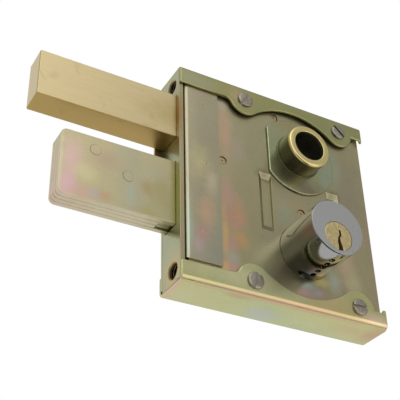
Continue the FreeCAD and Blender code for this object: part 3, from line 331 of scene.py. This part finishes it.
def baked(piece):
    """Turn the object's live modifiers into its plain mesh."""
    bpy.context.view_layer.update()
    graph = bpy.context.evaluated_depsgraph_get()
    plain = bpy.data.meshes.new_from_object(piece.evaluated_get(graph))
    piece.modifiers.clear()
    piece.data = plain
    plain.name = piece.name + "_mesh"


def break_edges(piece, width, angle):
    """Round the sharp edges a little, as stamping, tumbling and plating leave them."""
    broken = piece.modifiers.new("broken_edges", "BEVEL")
    broken.limit_method = "ANGLE"
    broken.angle_limit = math.radians(angle)
    broken.width = width
    broken.segments = 2
    broken.use_clamp_overlap = False
    broken.harden_normals = True


def soften(node, body, material, width=0.00018, angle=28, reach_out=0.0):
    """Copy of a CAD node with its sharp edges broken; reach_out shifts its fore-end side."""
    fore_end_side = 4.2 * MM
    seam = 2e-6
    flat = math.radians(0.6)
    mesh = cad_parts[node].data.copy()
    shape = bmesh.new()
    shape.from_mesh(mesh)
    for vertex in shape.verts:
        if vertex.co.x < fore_end_side:
            vertex.co.x -= reach_out
    bmesh.ops.remove_doubles(shape, verts=shape.verts, dist=seam)
    bmesh.ops.dissolve_limit(shape, angle_limit=flat, verts=shape.verts, edges=shape.edges)
    for face in shape.faces:
        face.smooth = True
    shape.to_mesh(mesh)
    shape.free()
    for stored in ("custom_normal", "sharp_edge"):
        if stored in mesh.attributes:
            mesh.attributes.remove(mesh.attributes[stored])
    mesh.materials.clear()
    mesh.materials.append(material)
    piece = bpy.data.objects.new(node + "_edges_broken", mesh)
    scene.collection.objects.link(piece)
    break_edges(piece, width, angle)
    baked(piece)
    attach(piece, body)
    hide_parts(node)


def finish_node(node, material):
    """Give a CAD node, whose shape stays as it is, its finish."""
    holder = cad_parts[node]
    for index in range(len(holder.material_slots)):
        holder.material_slots[index].material = material


low_hole, high_hole = 8.5, 116.5
fixing_depth = 9.0
fore_end_zinc = zinc("fore_end_zinc", (0.36, 0.37, 0.24), 0.31, start=0.30, blooms_and_painted_light=[
    ((0, 3.5, 95), (4, 8, 26), (0.26, 0.15, 0.02)), ((0, 3.5, 48), (4, 4, 30), (0.34, 0.37, 0.14)),
    ((1.3, 0.3, 60), (3.4, 2.2, 110), (0.58, 0.34, 0.22)),
    ((0, fixing_depth, low_hole), (4, 13, 13), (0.52, 0.41, 0.17)),
    ((0, fixing_depth, low_hole), (0, 5.2, 5.2), (0.46, 0.30, 0.14), CRISP),
    ((0, fixing_depth, high_hole), (0, 5.1, 5.1), (0.42, 0.32, 0.15), CRISP),
    # The two near-black patches are painted shade inside the fixing holes' bores.
    ((0, fixing_depth, low_hole), (0, 4.4, 4.4), (0.05, 0.035, 0.02), CRISP),
    ((0, fixing_depth, high_hole), (0, 4.4, 4.4), (0.05, 0.04, 0.025), CRISP)])
soften("fore_end_plate", "case", fore_end_zinc, width=0.0003)
finish_node("fixing_blocks", fore_end_zinc)


def hand_over(tree, geometry, finish):
    """Last nodes of a geometry tree: one plain mesh in the given finish."""
    solid = tree.nodes.new("GeometryNodeRealizeInstances")
    tree.links.new(geometry, solid.inputs[0])
    dressed = tree.nodes.new("GeometryNodeSetMaterial")
    tree.links.new(solid.outputs[0], dressed.inputs["Geometry"])
    tree.links.new(finish, dressed.inputs["Material"])
    tree.links.new(dressed.outputs[0], tree.nodes.new("NodeGroupOutput").inputs[0])


def drive(piece, name, tree, values):
    """Let a geometry tree make the piece, with its sockets set by their names."""
    modifier = piece.modifiers.new(name, "NODES")
    modifier.node_group = tree
    for socket in tree.interface.items_tree:
        if socket.name in values:
            modifier[socket.identifier] = values[socket.name]
    baked(piece)


# M8 threads cut in the fixing holes: a fine ridge that winds along the bore.
thread_tree = bpy.data.node_groups.new("wound_thread", "GeometryNodeTree")
for label, size in (("Bore Radius", 3.4), ("Pitch", 1.25), ("Length", 12), ("Ridge", 0.3)):
    thread_tree.interface.new_socket(label, in_out="INPUT", socket_type=FLOAT).default_value = size * MM
thread_tree.interface.new_socket("Finish", in_out="INPUT", socket_type="NodeSocketMaterial")
thread_tree.interface.new_socket("Geometry", in_out="OUTPUT", socket_type="NodeSocketGeometry")
given = thread_tree.nodes.new("NodeGroupInput").outputs
spiral = thread_tree.nodes.new("GeometryNodeCurveSpiral")
spiral.inputs["Resolution"].default_value = 32
turns = math_node(thread_tree, "DIVIDE", given["Length"], given["Pitch"])
for label, value in (("Rotations", turns), ("Start Radius", given["Bore Radius"]),
                     ("End Radius", given["Bore Radius"]), ("Height", given["Length"])):
    thread_tree.links.new(value, spiral.inputs[label])
ridge = thread_tree.nodes.new("GeometryNodeCurvePrimitiveCircle")
ridge.inputs["Resolution"].default_value = 4
thread_tree.links.new(given["Ridge"], ridge.inputs["Radius"])
wound = thread_tree.nodes.new("GeometryNodeCurveToMesh")
wound.inputs["Fill Caps"].default_value = True
thread_tree.links.new(spiral.outputs[0], wound.inputs["Curve"])
thread_tree.links.new(ridge.outputs[0], wound.inputs["Profile Curve"])
hand_over(thread_tree, wound.outputs[0], given["Finish"])
thread_zinc = zinc("thread_zinc", (0.26, 0.21, 0.12), 0.7, strength=0.2)
thread_start = 1.4
for index, level in enumerate((low_hole, high_hole)):
    thread = bpy.data.objects.new("fixing_thread_" + str(index + 1), bpy.data.meshes.new("thread"))
    scene.collection.objects.link(thread)
    drive(thread, "winding", thread_tree, {"Finish": thread_zinc})
    thread.data.transform(Matrix.Translation(from_corner((thread_start, fixing_depth, level)))
                          @ Matrix.Rotation(math.radians(90), 4, "Y"))
    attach(thread, "case")


# Front plate. Key side cover of 1.2 mm steel with two pressed guides for the fork of
# the cylinder; its film shows the strongest pink and orange blooms, beside the strip.
front_zinc = zinc("front_zinc", (0.42, 0.385, 0.255), 0.12, start=0.44, strength=0.6, scale=24, blooms_and_painted_light=[
    ((27, 0, 93), (7.2, 0, 28.6), (0.58, 0.41, 0.28)), ((26, 0, 111), (4.8, 0, 7.8), (0.53, 0.46, 0.33)),
    ((27, 0, 54), (7.2, 0, 16.9), (0.58, 0.37, 0.29)), ((34, 0, 84), (7.2, 0, 11.7), (0.48, 0.40, 0.30)),
    ((29, 0, 42), (7.2, 0, 10.4), (0.58, 0.35, 0.27)), ((33, 0, 44), (7.2, 0, 14.3), (0.60, 0.37, 0.23)),
    ((25, 0, 31), (3.1, 0, 26), (0.67, 0.44, 0.21)), ((33, 0, 31), (7.2, 0, 9.1), (0.59, 0.39, 0.19)),
    ((29, 0, 27), (4.8, 0, 7.8), (0.58, 0.36, 0.29)), ((28, 0, 20), (6, 0, 6.5), (0.49, 0.46, 0.36)),
    ((28, 0, 14), (7.2, 0, 5.2), (0.60, 0.40, 0.33)), ((24, 0, 14), (3.6, 0, 5.2), (0.72, 0.47, 0.22)),
    # The first patch below is painted shade under the upper channel's lug.
    ((37, 0, 108), (11, 0, 6), (0.36, 0.31, 0.20)), ((47, 0, 25), (12, 0, 12), (0.45, 0.42, 0.24)),
    ((70, 0, 62), (9, 0, 7), (0.45, 0.37, 0.21)), ((60, 0, 53), (7, 0, 12), (0.41, 0.42, 0.28)),
    ((70, 0, 15), (8, 0, 4), (0.40, 0.48, 0.42)), ((69, 0, 10.5), (8, 0, 3.5), (0.56, 0.39, 0.38)),
    ((76, 0, 12), (6, 0, 3.5), (0.47, 0.42, 0.43)), ((79, 0, 19), (7, 0, 4), (0.64, 0.55, 0.20)),
    ((98, 0, 23), (9, 0, 12), (0.53, 0.51, 0.29)), ((87, 0, 21), (6, 0, 10), (0.46, 0.50, 0.38)),
    ((95, 0, 36), (9, 0, 20), (0.59, 0.46, 0.31)), ((103, 0, 78), (14, 0, 32), (0.36, 0.325, 0.225)),
    ((94, 0, 92), (8, 0, 20), (0.38, 0.42, 0.29)), ((55, 0, 96), (7, 0, 20), (0.42, 0.43, 0.29)),
    # These two dark patches are painted shade that dulls the highlight on the guides' top ramps.
    ((49.6, 0, 73.6), (7, 0, 5), (0.20, 0.19, 0.12)), ((91.4, 0, 73.6), (7, 0, 5), (0.20, 0.19, 0.12))])
soften("front_plate", "case", front_zinc, width=0.00012, angle=17)


# Rear case. Back plate bent round into the far end wall, drawn from the same sheet.
rear_zinc = zinc("rear_zinc", (0.50, 0.44, 0.26), 4.4, start=0.42, strength=0.7, scale=17, blooms_and_painted_light=[
    # The bright orange patch is painted light on the tongue between the bolts, which lies in shade.
    ((-3, 22, 70), (9, 4, 30), (1.0, 0.66, 0.36))])
soften("rear_case", "case", rear_zinc, width=0.00025)
finish_node("cylinder_fork", rear_zinc)


# Raised strip. Bent strip that guides both bolts, riveted over the front plate's edge.
strip_zinc = zinc("strip_zinc", (0.415, 0.375, 0.275), 0.77, start=0.34, scale=26, blooms_and_painted_light=[
    ((14.5, 0, 40), (7.2, 0, 14.3), (0.60, 0.42, 0.27)), ((12, 0, 28), (7.2, 0, 9.1), (0.53, 0.35, 0.30)),
    ((5.2, 0, 30), (3, 0, 26), (0.41, 0.47, 0.35)), ((9.5, 0, 21), (5, 0, 7), (0.52, 0.41, 0.38)),
    ((11, 0, 68), (8, 0, 16), (0.53, 0.48, 0.27)), ((17, 0, 58), (6, 0, 14), (0.56, 0.49, 0.33)),
    # The dark stripe down the strip's fore-end edge is painted shade that dulls the edge's reflection.
    ((2.9, 0, 62), (1.5, 0, 120), (0.26, 0.25, 0.16))])
soften("guide_angle", "case", strip_zinc, width=0.00018, reach_out=0.0005)


# Channels. Sheet of 1.5 mm wrapped over the top and the bottom of the case, with wavy lugs for the cover
# screws. The lower channel's long bend carries a painted pinkish-cream highlight, and the upper channel is
# darker along its top bend.
along_case = (0.4, 1, 1)
top_zinc = zinc("top_channel_zinc", (0.385, 0.365, 0.175), 1.9, start=0.44, strength=0.7,
                flow=along_case, blooms_and_painted_light=[
    ((8, 0, 119), (22, 0, 9), (0.38, 0.38, 0.23)), ((33, 0, 117), (8, 0, 8), (0.50, 0.40, 0.22)),
    ((100, 0, 114), (18, 0, 9), (0.38, 0.38, 0.18)),
    # The last patch makes the top bend darker.
    ((57, 0.6, 124.6), (90, 2.2, 1.8), (0.27, 0.29, 0.15))])
bottom_zinc = zinc("bottom_channel_zinc", (0.53, 0.52, 0.285), 2.6, strength=0.8, flow=along_case, blooms_and_painted_light=[
    ((80, 0, 6), (30, 1.2, 8), (0.62, 0.50, 0.24)), ((108, 0, 3), (16, 1.2, 7), (0.84, 0.68, 0.46)),
    ((50, 14, 0), (14, 9, 1), (0.46, 0.49, 0.42)), ((31, 3, 0), (12, 3, 1), (0.48, 0.40, 0.19)),
    ((98, 9, 0), (16, 8, 1), (0.54, 0.45, 0.23)), ((112, 9, 0), (11, 15, 1), (0.52, 0.37, 0.20)),
    ((7, 13, 0), (12, 10, 1), (0.55, 0.53, 0.30)),
    ((0, 11, 0.8), (2.6, 20, 3.4), (0.66, 0.44, 0.32)), ((40, 0, 9), (60, 1, 10), (0.64, 0.63, 0.36)),
    # The last patch is a painted highlight along the lower channel's long bend.
    ((57, 0.9, 0.9), (90, 3.2, 3.2), (0.60, 0.42, 0.27))])
soften("top_channel", "case", top_zinc, width=0.0007)
soften("bottom_channel", "case", bottom_zinc, width=0.0004)


# Cover screws. Slotted turned screws of bare steel gone grey, each left with its slot
# at another angle; rivets and screws are set in place by one tree.
turned, given, result = make_group(
    "turned_metal",
    [("Tint", COLOUR, (0.3, 0.3, 0.3, 1)), ("Roughness", FLOAT, 0.3), ("Grain", FLOAT, 0.5)],
    [("Color", COLOUR), ("Roughness", FLOAT), ("Height", FLOAT)])
speck = noise_node(turned, place_of(turned), 700.0, 4.0)
mottle = ramp_node(turned, speck, 0.2, 0.8, 0.78, 1.15)
turned.links.new(mix_node(turned, "MULTIPLY", 1.0, given["Tint"], mottle), result["Color"])
rough = math_node(turned, "MULTIPLY", speck, 0.16)
turned.links.new(math_node(turned, "ADD", rough, given["Roughness"]), result["Roughness"])
turned.links.new(math_node(turned, "MULTIPLY", speck, given["Grain"]), result["Height"])

setting_tree = bpy.data.node_groups.new("set_in_place", "GeometryNodeTree")
for label, kind in (("Places", "Geometry"), ("Fastener", "Object"), ("Finish", "Material")):
    setting_tree.interface.new_socket(label, in_out="INPUT", socket_type="NodeSocket" + kind)
setting_tree.interface.new_socket("Geometry", in_out="OUTPUT", socket_type="NodeSocketGeometry")
given = setting_tree.nodes.new("NodeGroupInput").outputs
model = setting_tree.nodes.new("GeometryNodeObjectInfo")
setting_tree.links.new(given["Fastener"], model.inputs["Object"])
turn = setting_tree.nodes.new("GeometryNodeInputNamedAttribute")
turn.data_type = "FLOAT"
turn.inputs["Name"].default_value = "turn"
about_axis = setting_tree.nodes.new("ShaderNodeCombineXYZ")
setting_tree.links.new(turn.outputs["Attribute"], about_axis.inputs["Y"])
rotation = setting_tree.nodes.new("FunctionNodeEulerToRotation")
setting_tree.links.new(about_axis.outputs[0], rotation.inputs[0])
setting = setting_tree.nodes.new("GeometryNodeInstanceOnPoints")
setting_tree.links.new(given["Places"], setting.inputs["Points"])
setting_tree.links.new(model.outputs["Geometry"], setting.inputs["Instance"])
setting_tree.links.new(rotation.outputs[0], setting.inputs["Rotation"])
hand_over(setting_tree, setting.outputs[0], given["Finish"])


def turned_form(name, profile, steps=48):
    """Solid of revolution about the Y axis from (radius, level) pairs in mm; both ends lie on the axis."""
    shape = bmesh.new()
    rings = []
    for radius, level in profile:
        angles = [math.tau * step / steps for step in range(steps if radius else 1)]
        ring = [Vector((radius * math.cos(angle), level, radius * math.sin(angle))) for angle in angles]
        rings.append([shape.verts.new(place * MM) for place in ring])
    for near, far in zip(rings, rings[1:]):
        for step in range(steps):
            following = (step + 1) % steps
            loop = {vertex: None for vertex in (near[step % len(near)], near[following % len(near)],
                                                far[following % len(far)], far[step % len(far)])}
            shape.faces.new(list(loop)).smooth = True
    bmesh.ops.recalc_face_normals(shape, faces=shape.faces)
    mesh = bpy.data.meshes.new(name)
    shape.to_mesh(mesh)
    shape.free()
    form = bpy.data.objects.new(name, mesh)
    scene.collection.objects.link(form)
    return form


def cut_slot(form, width, depth, top, reach):
    """Saw a screwdriver slot across the top of a turned form."""
    saw_mesh = bpy.data.meshes.new("saw")
    shape = bmesh.new()
    bmesh.ops.create_cube(shape, size=1)
    bmesh.ops.scale(shape, vec=(2 * reach * MM, 2 * depth * MM, width * MM), verts=shape.verts)
    bmesh.ops.translate(shape, vec=(0, top * MM, 0), verts=shape.verts)
    shape.to_mesh(saw_mesh)
    shape.free()
    saw = bpy.data.objects.new("saw", saw_mesh)
    scene.collection.objects.link(saw)
    slot = form.modifiers.new("slot", "BOOLEAN")
    slot.operation = "DIFFERENCE"
    slot.object = saw
    break_edges(form, width=0.00007, angle=35)
    baked(form)
    bpy.data.objects.remove(saw)


def set_fasteners(name, node, body, form, places, turns, material):
    """Copies of a turned form at places in mm from the case's corner, each turned about its axis."""
    mesh = bpy.data.meshes.new(name)
    mesh.from_pydata([from_corner(place) for place in places], [], [])
    stored = mesh.attributes.new("turn", "FLOAT", "POINT")
    stored.data.foreach_set("value", [math.radians(angle) for angle in turns])
    piece = bpy.data.objects.new(name, mesh)
    scene.collection.objects.link(piece)
    drive(piece, "setting", setting_tree, {"Fastener": form, "Finish": material})
    bpy.data.objects.remove(form)
    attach(piece, body)
    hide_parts(node)


screw_steel = metal("screw_steel", turned, {"Tint": (0.34, 0.31, 0.25), "Roughness": 0.3, "Grain": 1.0})
screw_form = turned_form("cover_screw", (
    (0, -1.3), (3.2, -1.26), (3.95, -1.16), (4.25, -0.98), (4.4, -0.7), (4.4, 0),
    (2.45, 0), (2.45, 11.6), (2.05, 12), (0, 12)))
cut_slot(screw_form, width=1.5, depth=1.0, top=-1.3, reach=5)
screw_places = [(column, 0, level) for column in (38.5, 98.5) for level in (low_hole, high_hole)]
slot_turns = (-65, -55, -3, 44)
set_fasteners("cover_screw_set", "cover_screws", "case", screw_form, screw_places, slot_turns,
              screw_steel)


# Strip rivets. Three flush rivets, planished with the strip and plated with it.
rivet_form = turned_form("strip_rivet", (
    (0, 0.03), (0.5, 0.03), (0.9, -0.01), (1.4, -0.02), (1.6, 0.03), (1.6, 2.4), (0, 2.4)), steps=32)
rivet_places = [(13.4, 1.5, level) for level in (103.5, 68.8, 28.7)]
set_fasteners("strip_rivet_set", "strip_rivets", "case", rivet_form, rivet_places, (0, 0, 0),
              strip_zinc)


# Pillars, rods and springs. Machined and wound steel inside the case, lightly oiled.
inner_steel = metal("inner_steel", turned, {"Tint": (0.42, 0.42, 0.43), "Roughness": 0.25, "Grain": 0.4})
for node in ("screw_pillars", "spring_rod", "drive_pinion"):
    finish_node(node, inner_steel)
spring_wire = metal("spring_wire", turned, {"Tint": (0.33, 0.33, 0.35), "Roughness": 0.2, "Grain": 0.3})
for node in ("plug_clip", "drill_pin"):
    finish_node(node, spring_wire)
hub_steel = metal("hub_steel", turned, {"Tint": (0.16, 0.16, 0.14), "Roughness": 0.4, "Grain": 0.6})
finish_node("spindle_hub", hub_steel)


# Latch spring. Coil wound round its rod; on the lock it shortens against the end wall as the bar is drawn in,
# until the yoke has come 14 mm nearer, but here it keeps the one shape of its CAD node.
coil = bpy.data.objects.new("wound_spring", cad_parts["latch_spring"].data.copy())
coil.data.materials.clear()
coil.data.materials.append(spring_wire)
scene.collection.objects.link(coil)
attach(coil, "case")
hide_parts("latch_spring")
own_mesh(coil)


# Guide posts. Their turned ends show at the bottom of three holes in the front plate.
pin_zinc = zinc("pin_zinc", (0.50, 0.38, 0.22), 3.1, start=0.5, strength=0.4, scale=60)
for node in ("upper_post", "middle_post", "tail_post"):
    finish_node(node, pin_zinc)


# Spindle tube. Machined tube with a rounded rim, pressed into a D shaped flange; the tube keeps a near mirror
# finish and the flange is brushed. The tube's film is painted dark as painted shade on its side and in its
# bore, and its rim is painted gold as a painted highlight.
tube_axis = (70.5, 91.2)
collar_zinc = zinc("collar_zinc", (0.41, 0.415, 0.25), 5.3, start=0.36, scale=30, roughness=0.26, blooms_and_painted_light=[
    ((88, 0, 83), (9, 0, 14), (0.38, 0.44, 0.32)), ((66, 0, 110), (14, 0, 8), (0.42, 0.36, 0.19)),
    ((76, 0, 71), (17, 0, 10), (0.27, 0.24, 0.15))])
soften("tube_flange", "case", collar_zinc, width=0.0006)
tube_zinc = metal("tube_zinc", passivate, {
    # The dark tint is painted shade on the tube's side.
    "Tint": (0.165, 0.16, 0.095), "Film Scale": 30.0, "Film Shift": 7.7, "Film Strength": 0.35,
    "Film Start": 0.45, "Roughness": 0.24, "Grain": 0.2}, edge=0.05, ragged=0.0, blooms_and_painted_light=[
        # The gold patch is a painted highlight on the rim, and the dark grey patch is painted shade in the
        # bore.
        ((tube_axis[0], -10.8, tube_axis[1]), (20, 3.2, 20), (0.74, 0.62, 0.28)),
        ((tube_axis[0], 0, tube_axis[1]), (9.0, 0, 9.0), (0.2, 0.2, 0.17))])
soften("spindle_tube", "case", tube_zinc, width=0.0001, angle=40)


# Key cylinder. Chrome plated shell with a satin face, five drilled pin chambers along
# its underside and a turned brass plug set off centre.
plated, given, result = make_group(
    "plated_shell",
    [("Tint", COLOUR, (0.55, 0.56, 0.56, 1)), ("Face Tint", COLOUR, (0.45, 0.46, 0.45, 1)),
     ("Face Level", FLOAT, -0.0334), ("Side Roughness", FLOAT, 0.08),
     ("Face Roughness", FLOAT, 0.38)],
    [("Color", COLOUR), ("Roughness", FLOAT), ("Height", FLOAT)])
where = place_of(plated)
depth = plated.nodes.new("ShaderNodeSeparateXYZ")
plated.links.new(where, depth.inputs[0])
face_start = math_node(plated, "ADD", given["Face Level"], 0.05 * MM)
face_end = math_node(plated, "ADD", given["Face Level"], 0.12 * MM)
on_face = ramp_node(plated, depth.outputs["Y"], face_start, face_end, 1.0, 0.0)
speck = noise_node(plated, where, 1100.0, 3.0)
satin = mix_node(plated, "MIX", on_face, given["Tint"], given["Face Tint"])
plated.links.new(mix_node(plated, "MULTIPLY", 1.0, satin, ramp_node(plated, speck, 0.2, 0.8, 0.95, 1.04)),
                 result["Color"])
gloss = math_node(plated, "SUBTRACT", given["Face Roughness"], given["Side Roughness"])
gloss = math_node(plated, "ADD", math_node(plated, "MULTIPLY", gloss, on_face), given["Side Roughness"])
plated.links.new(gloss, result["Roughness"])
plated.links.new(math_node(plated, "MULTIPLY", speck, on_face), result["Height"])
chrome = metal("chrome", plated, {"Tint": (0.34, 0.34, 0.33)}, metallic=1.0, edge=0.2, ragged=0.0,
               # Both near-black patches are painted shade: one where the shell's base meets the front plate,
               # one over the pin chambers, where it hides their glints.
               blooms_and_painted_light=[((70.5, 0.4, 18.6), (10, 2.4, 3), (0.04, 0.04, 0.03)),
                       ((70.5, -13, 24), (6, 11.3, 5.2), (0.03, 0.03, 0.025))])
soften("cylinder_shell", "case", chrome, width=0.00005)
plug_brass = metal("plug_brass", turned, {"Tint": (0.68, 0.55, 0.28), "Roughness": 0.24, "Grain": 0.3})
soften("cylinder_plug", "key_plug", plug_brass, width=0.0001)
# The pins, drivers and springs are painted near-black, as painted shade in the pin chambers.
pin_brass = metal("pin_brass", turned, {"Tint": (0.10, 0.08, 0.05), "Roughness": 0.4, "Grain": 0.3})
for node in ("key_pins", "driver_pins", "pin_springs"):
    finish_node(node, pin_brass)


# Laminated dead bolt. Four steel plates riveted together, ground on their faces and
# plated as one, so the film lies thin and pale on them.
bolt_zinc = zinc("bolt_zinc", (0.52, 0.455, 0.295), 9.4, start=0.42, scale=30, roughness=0.34, blooms_and_painted_light=[
    ((-53, 0, 53), (9, 0, 16), (0.66, 0.46, 0.41)), ((-54, 0, 38), (8, 0, 12), (0.66, 0.44, 0.44)),
    ((-46, 0, 35), (10, 0, 6), (0.60, 0.41, 0.32)), ((-46, 0, 46), (9, 0, 8), (0.60, 0.54, 0.32)),
    ((-41, 0, 36), (5, 0, 5), (0.49, 0.44, 0.38)), ((-36, 0, 36), (6, 0, 4), (0.53, 0.38, 0.24)),
    ((-35, 0, 56), (10, 0, 8), (0.49, 0.39, 0.27)), ((-23, 0, 41), (5, 0, 9), (0.46, 0.47, 0.36)),
    ((-15, 0, 47), (6, 0, 8), (0.46, 0.35, 0.20)), ((-14, 0, 34), (9, 0, 4), (0.46, 0.42, 0.20)),
    # The patch at x -1 is painted shade beside the fore-end, where the bolt leaves its opening.
    ((-10, 0, 56), (7, 0, 8), (0.48, 0.46, 0.32)), ((-1, 0, 48), (3, 0, 40), (0.40, 0.36, 0.14)),
    ((-7, 0, 44), (12, 0, 20), (0.43, 0.385, 0.20)),
    ((-58.5, 5.6, 50), (2, 1.5, 30), (0.62, 0.57, 0.36)), ((-30, 0, 31.4), (60, 0, 1.6), (0.62, 0.55, 0.39))])
for node in ("bolt_plate_front", "bolt_plate_mid_front", "bolt_plate_mid_rear", "bolt_plate_rear"):
    soften(node, "dead_bolt", bolt_zinc, width=0.0003)
finish_node("bolt_rivets", bolt_zinc)


# Brass latch bar. Drawn bar, sawn square, with fine grain along it and a few dull spots; its underside is
# painted darker, as painted shade.
drawn, given, result = make_group(
    "drawn_brass",
    [("Tint", COLOUR, (0.56, 0.45, 0.23, 1)), ("Under Tint", COLOUR, (0.46, 0.33, 0.13, 1)),
     ("Under Level", FLOAT, 0.0196), ("Grain", FLOAT, 0.5)],
    [("Color", COLOUR), ("Roughness", FLOAT), ("Height", FLOAT)])
where = place_of(drawn)
height = drawn.nodes.new("ShaderNodeSeparateXYZ")
drawn.links.new(where, height.inputs[0])
# Below the under level the brass takes the under tint, which is painted shade on the underside.
under = ramp_node(drawn, height.outputs["Z"], given["Under Level"],
                  math_node(drawn, "ADD", given["Under Level"], 0.0002), 1.0, 0.0)
lines = noise_node(drawn, vector_node(drawn, "MULTIPLY", where, (60, 1400, 1400)), 1.0, 3.0)
dull = ramp_node(drawn, noise_node(drawn, where, 120.0, 3.0, 0.5), 0.6, 0.75, 1.0, 0.9)
brass = mix_node(drawn, "MIX", under, given["Tint"], given["Under Tint"])
brass = mix_node(drawn, "MULTIPLY", 1.0, brass, ramp_node(drawn, lines, 0.2, 0.8, 0.95, 1.04))
drawn.links.new(mix_node(drawn, "MULTIPLY", 1.0, brass, dull), result["Color"])
drawn.links.new(math_node(drawn, "ADD", math_node(drawn, "MULTIPLY", lines, 0.16), 0.3), result["Roughness"])
drawn.links.new(math_node(drawn, "MULTIPLY", lines, given["Grain"]), result["Height"])
bar_brass = metal("bar_brass", drawn, {"Tint": (0.60, 0.49, 0.275), "Under Tint": (0.45, 0.315, 0.11)},
                  edge=1.0, blooms_and_painted_light=[((4, 0, 95), (34, 20, 14), (0.47, 0.37, 0.16))])
soften("brass_bolt", "latch", bar_brass, width=0.0002)
finish_node("latch_yoke", rear_zinc)
finish_node("yoke_screws", screw_steel)
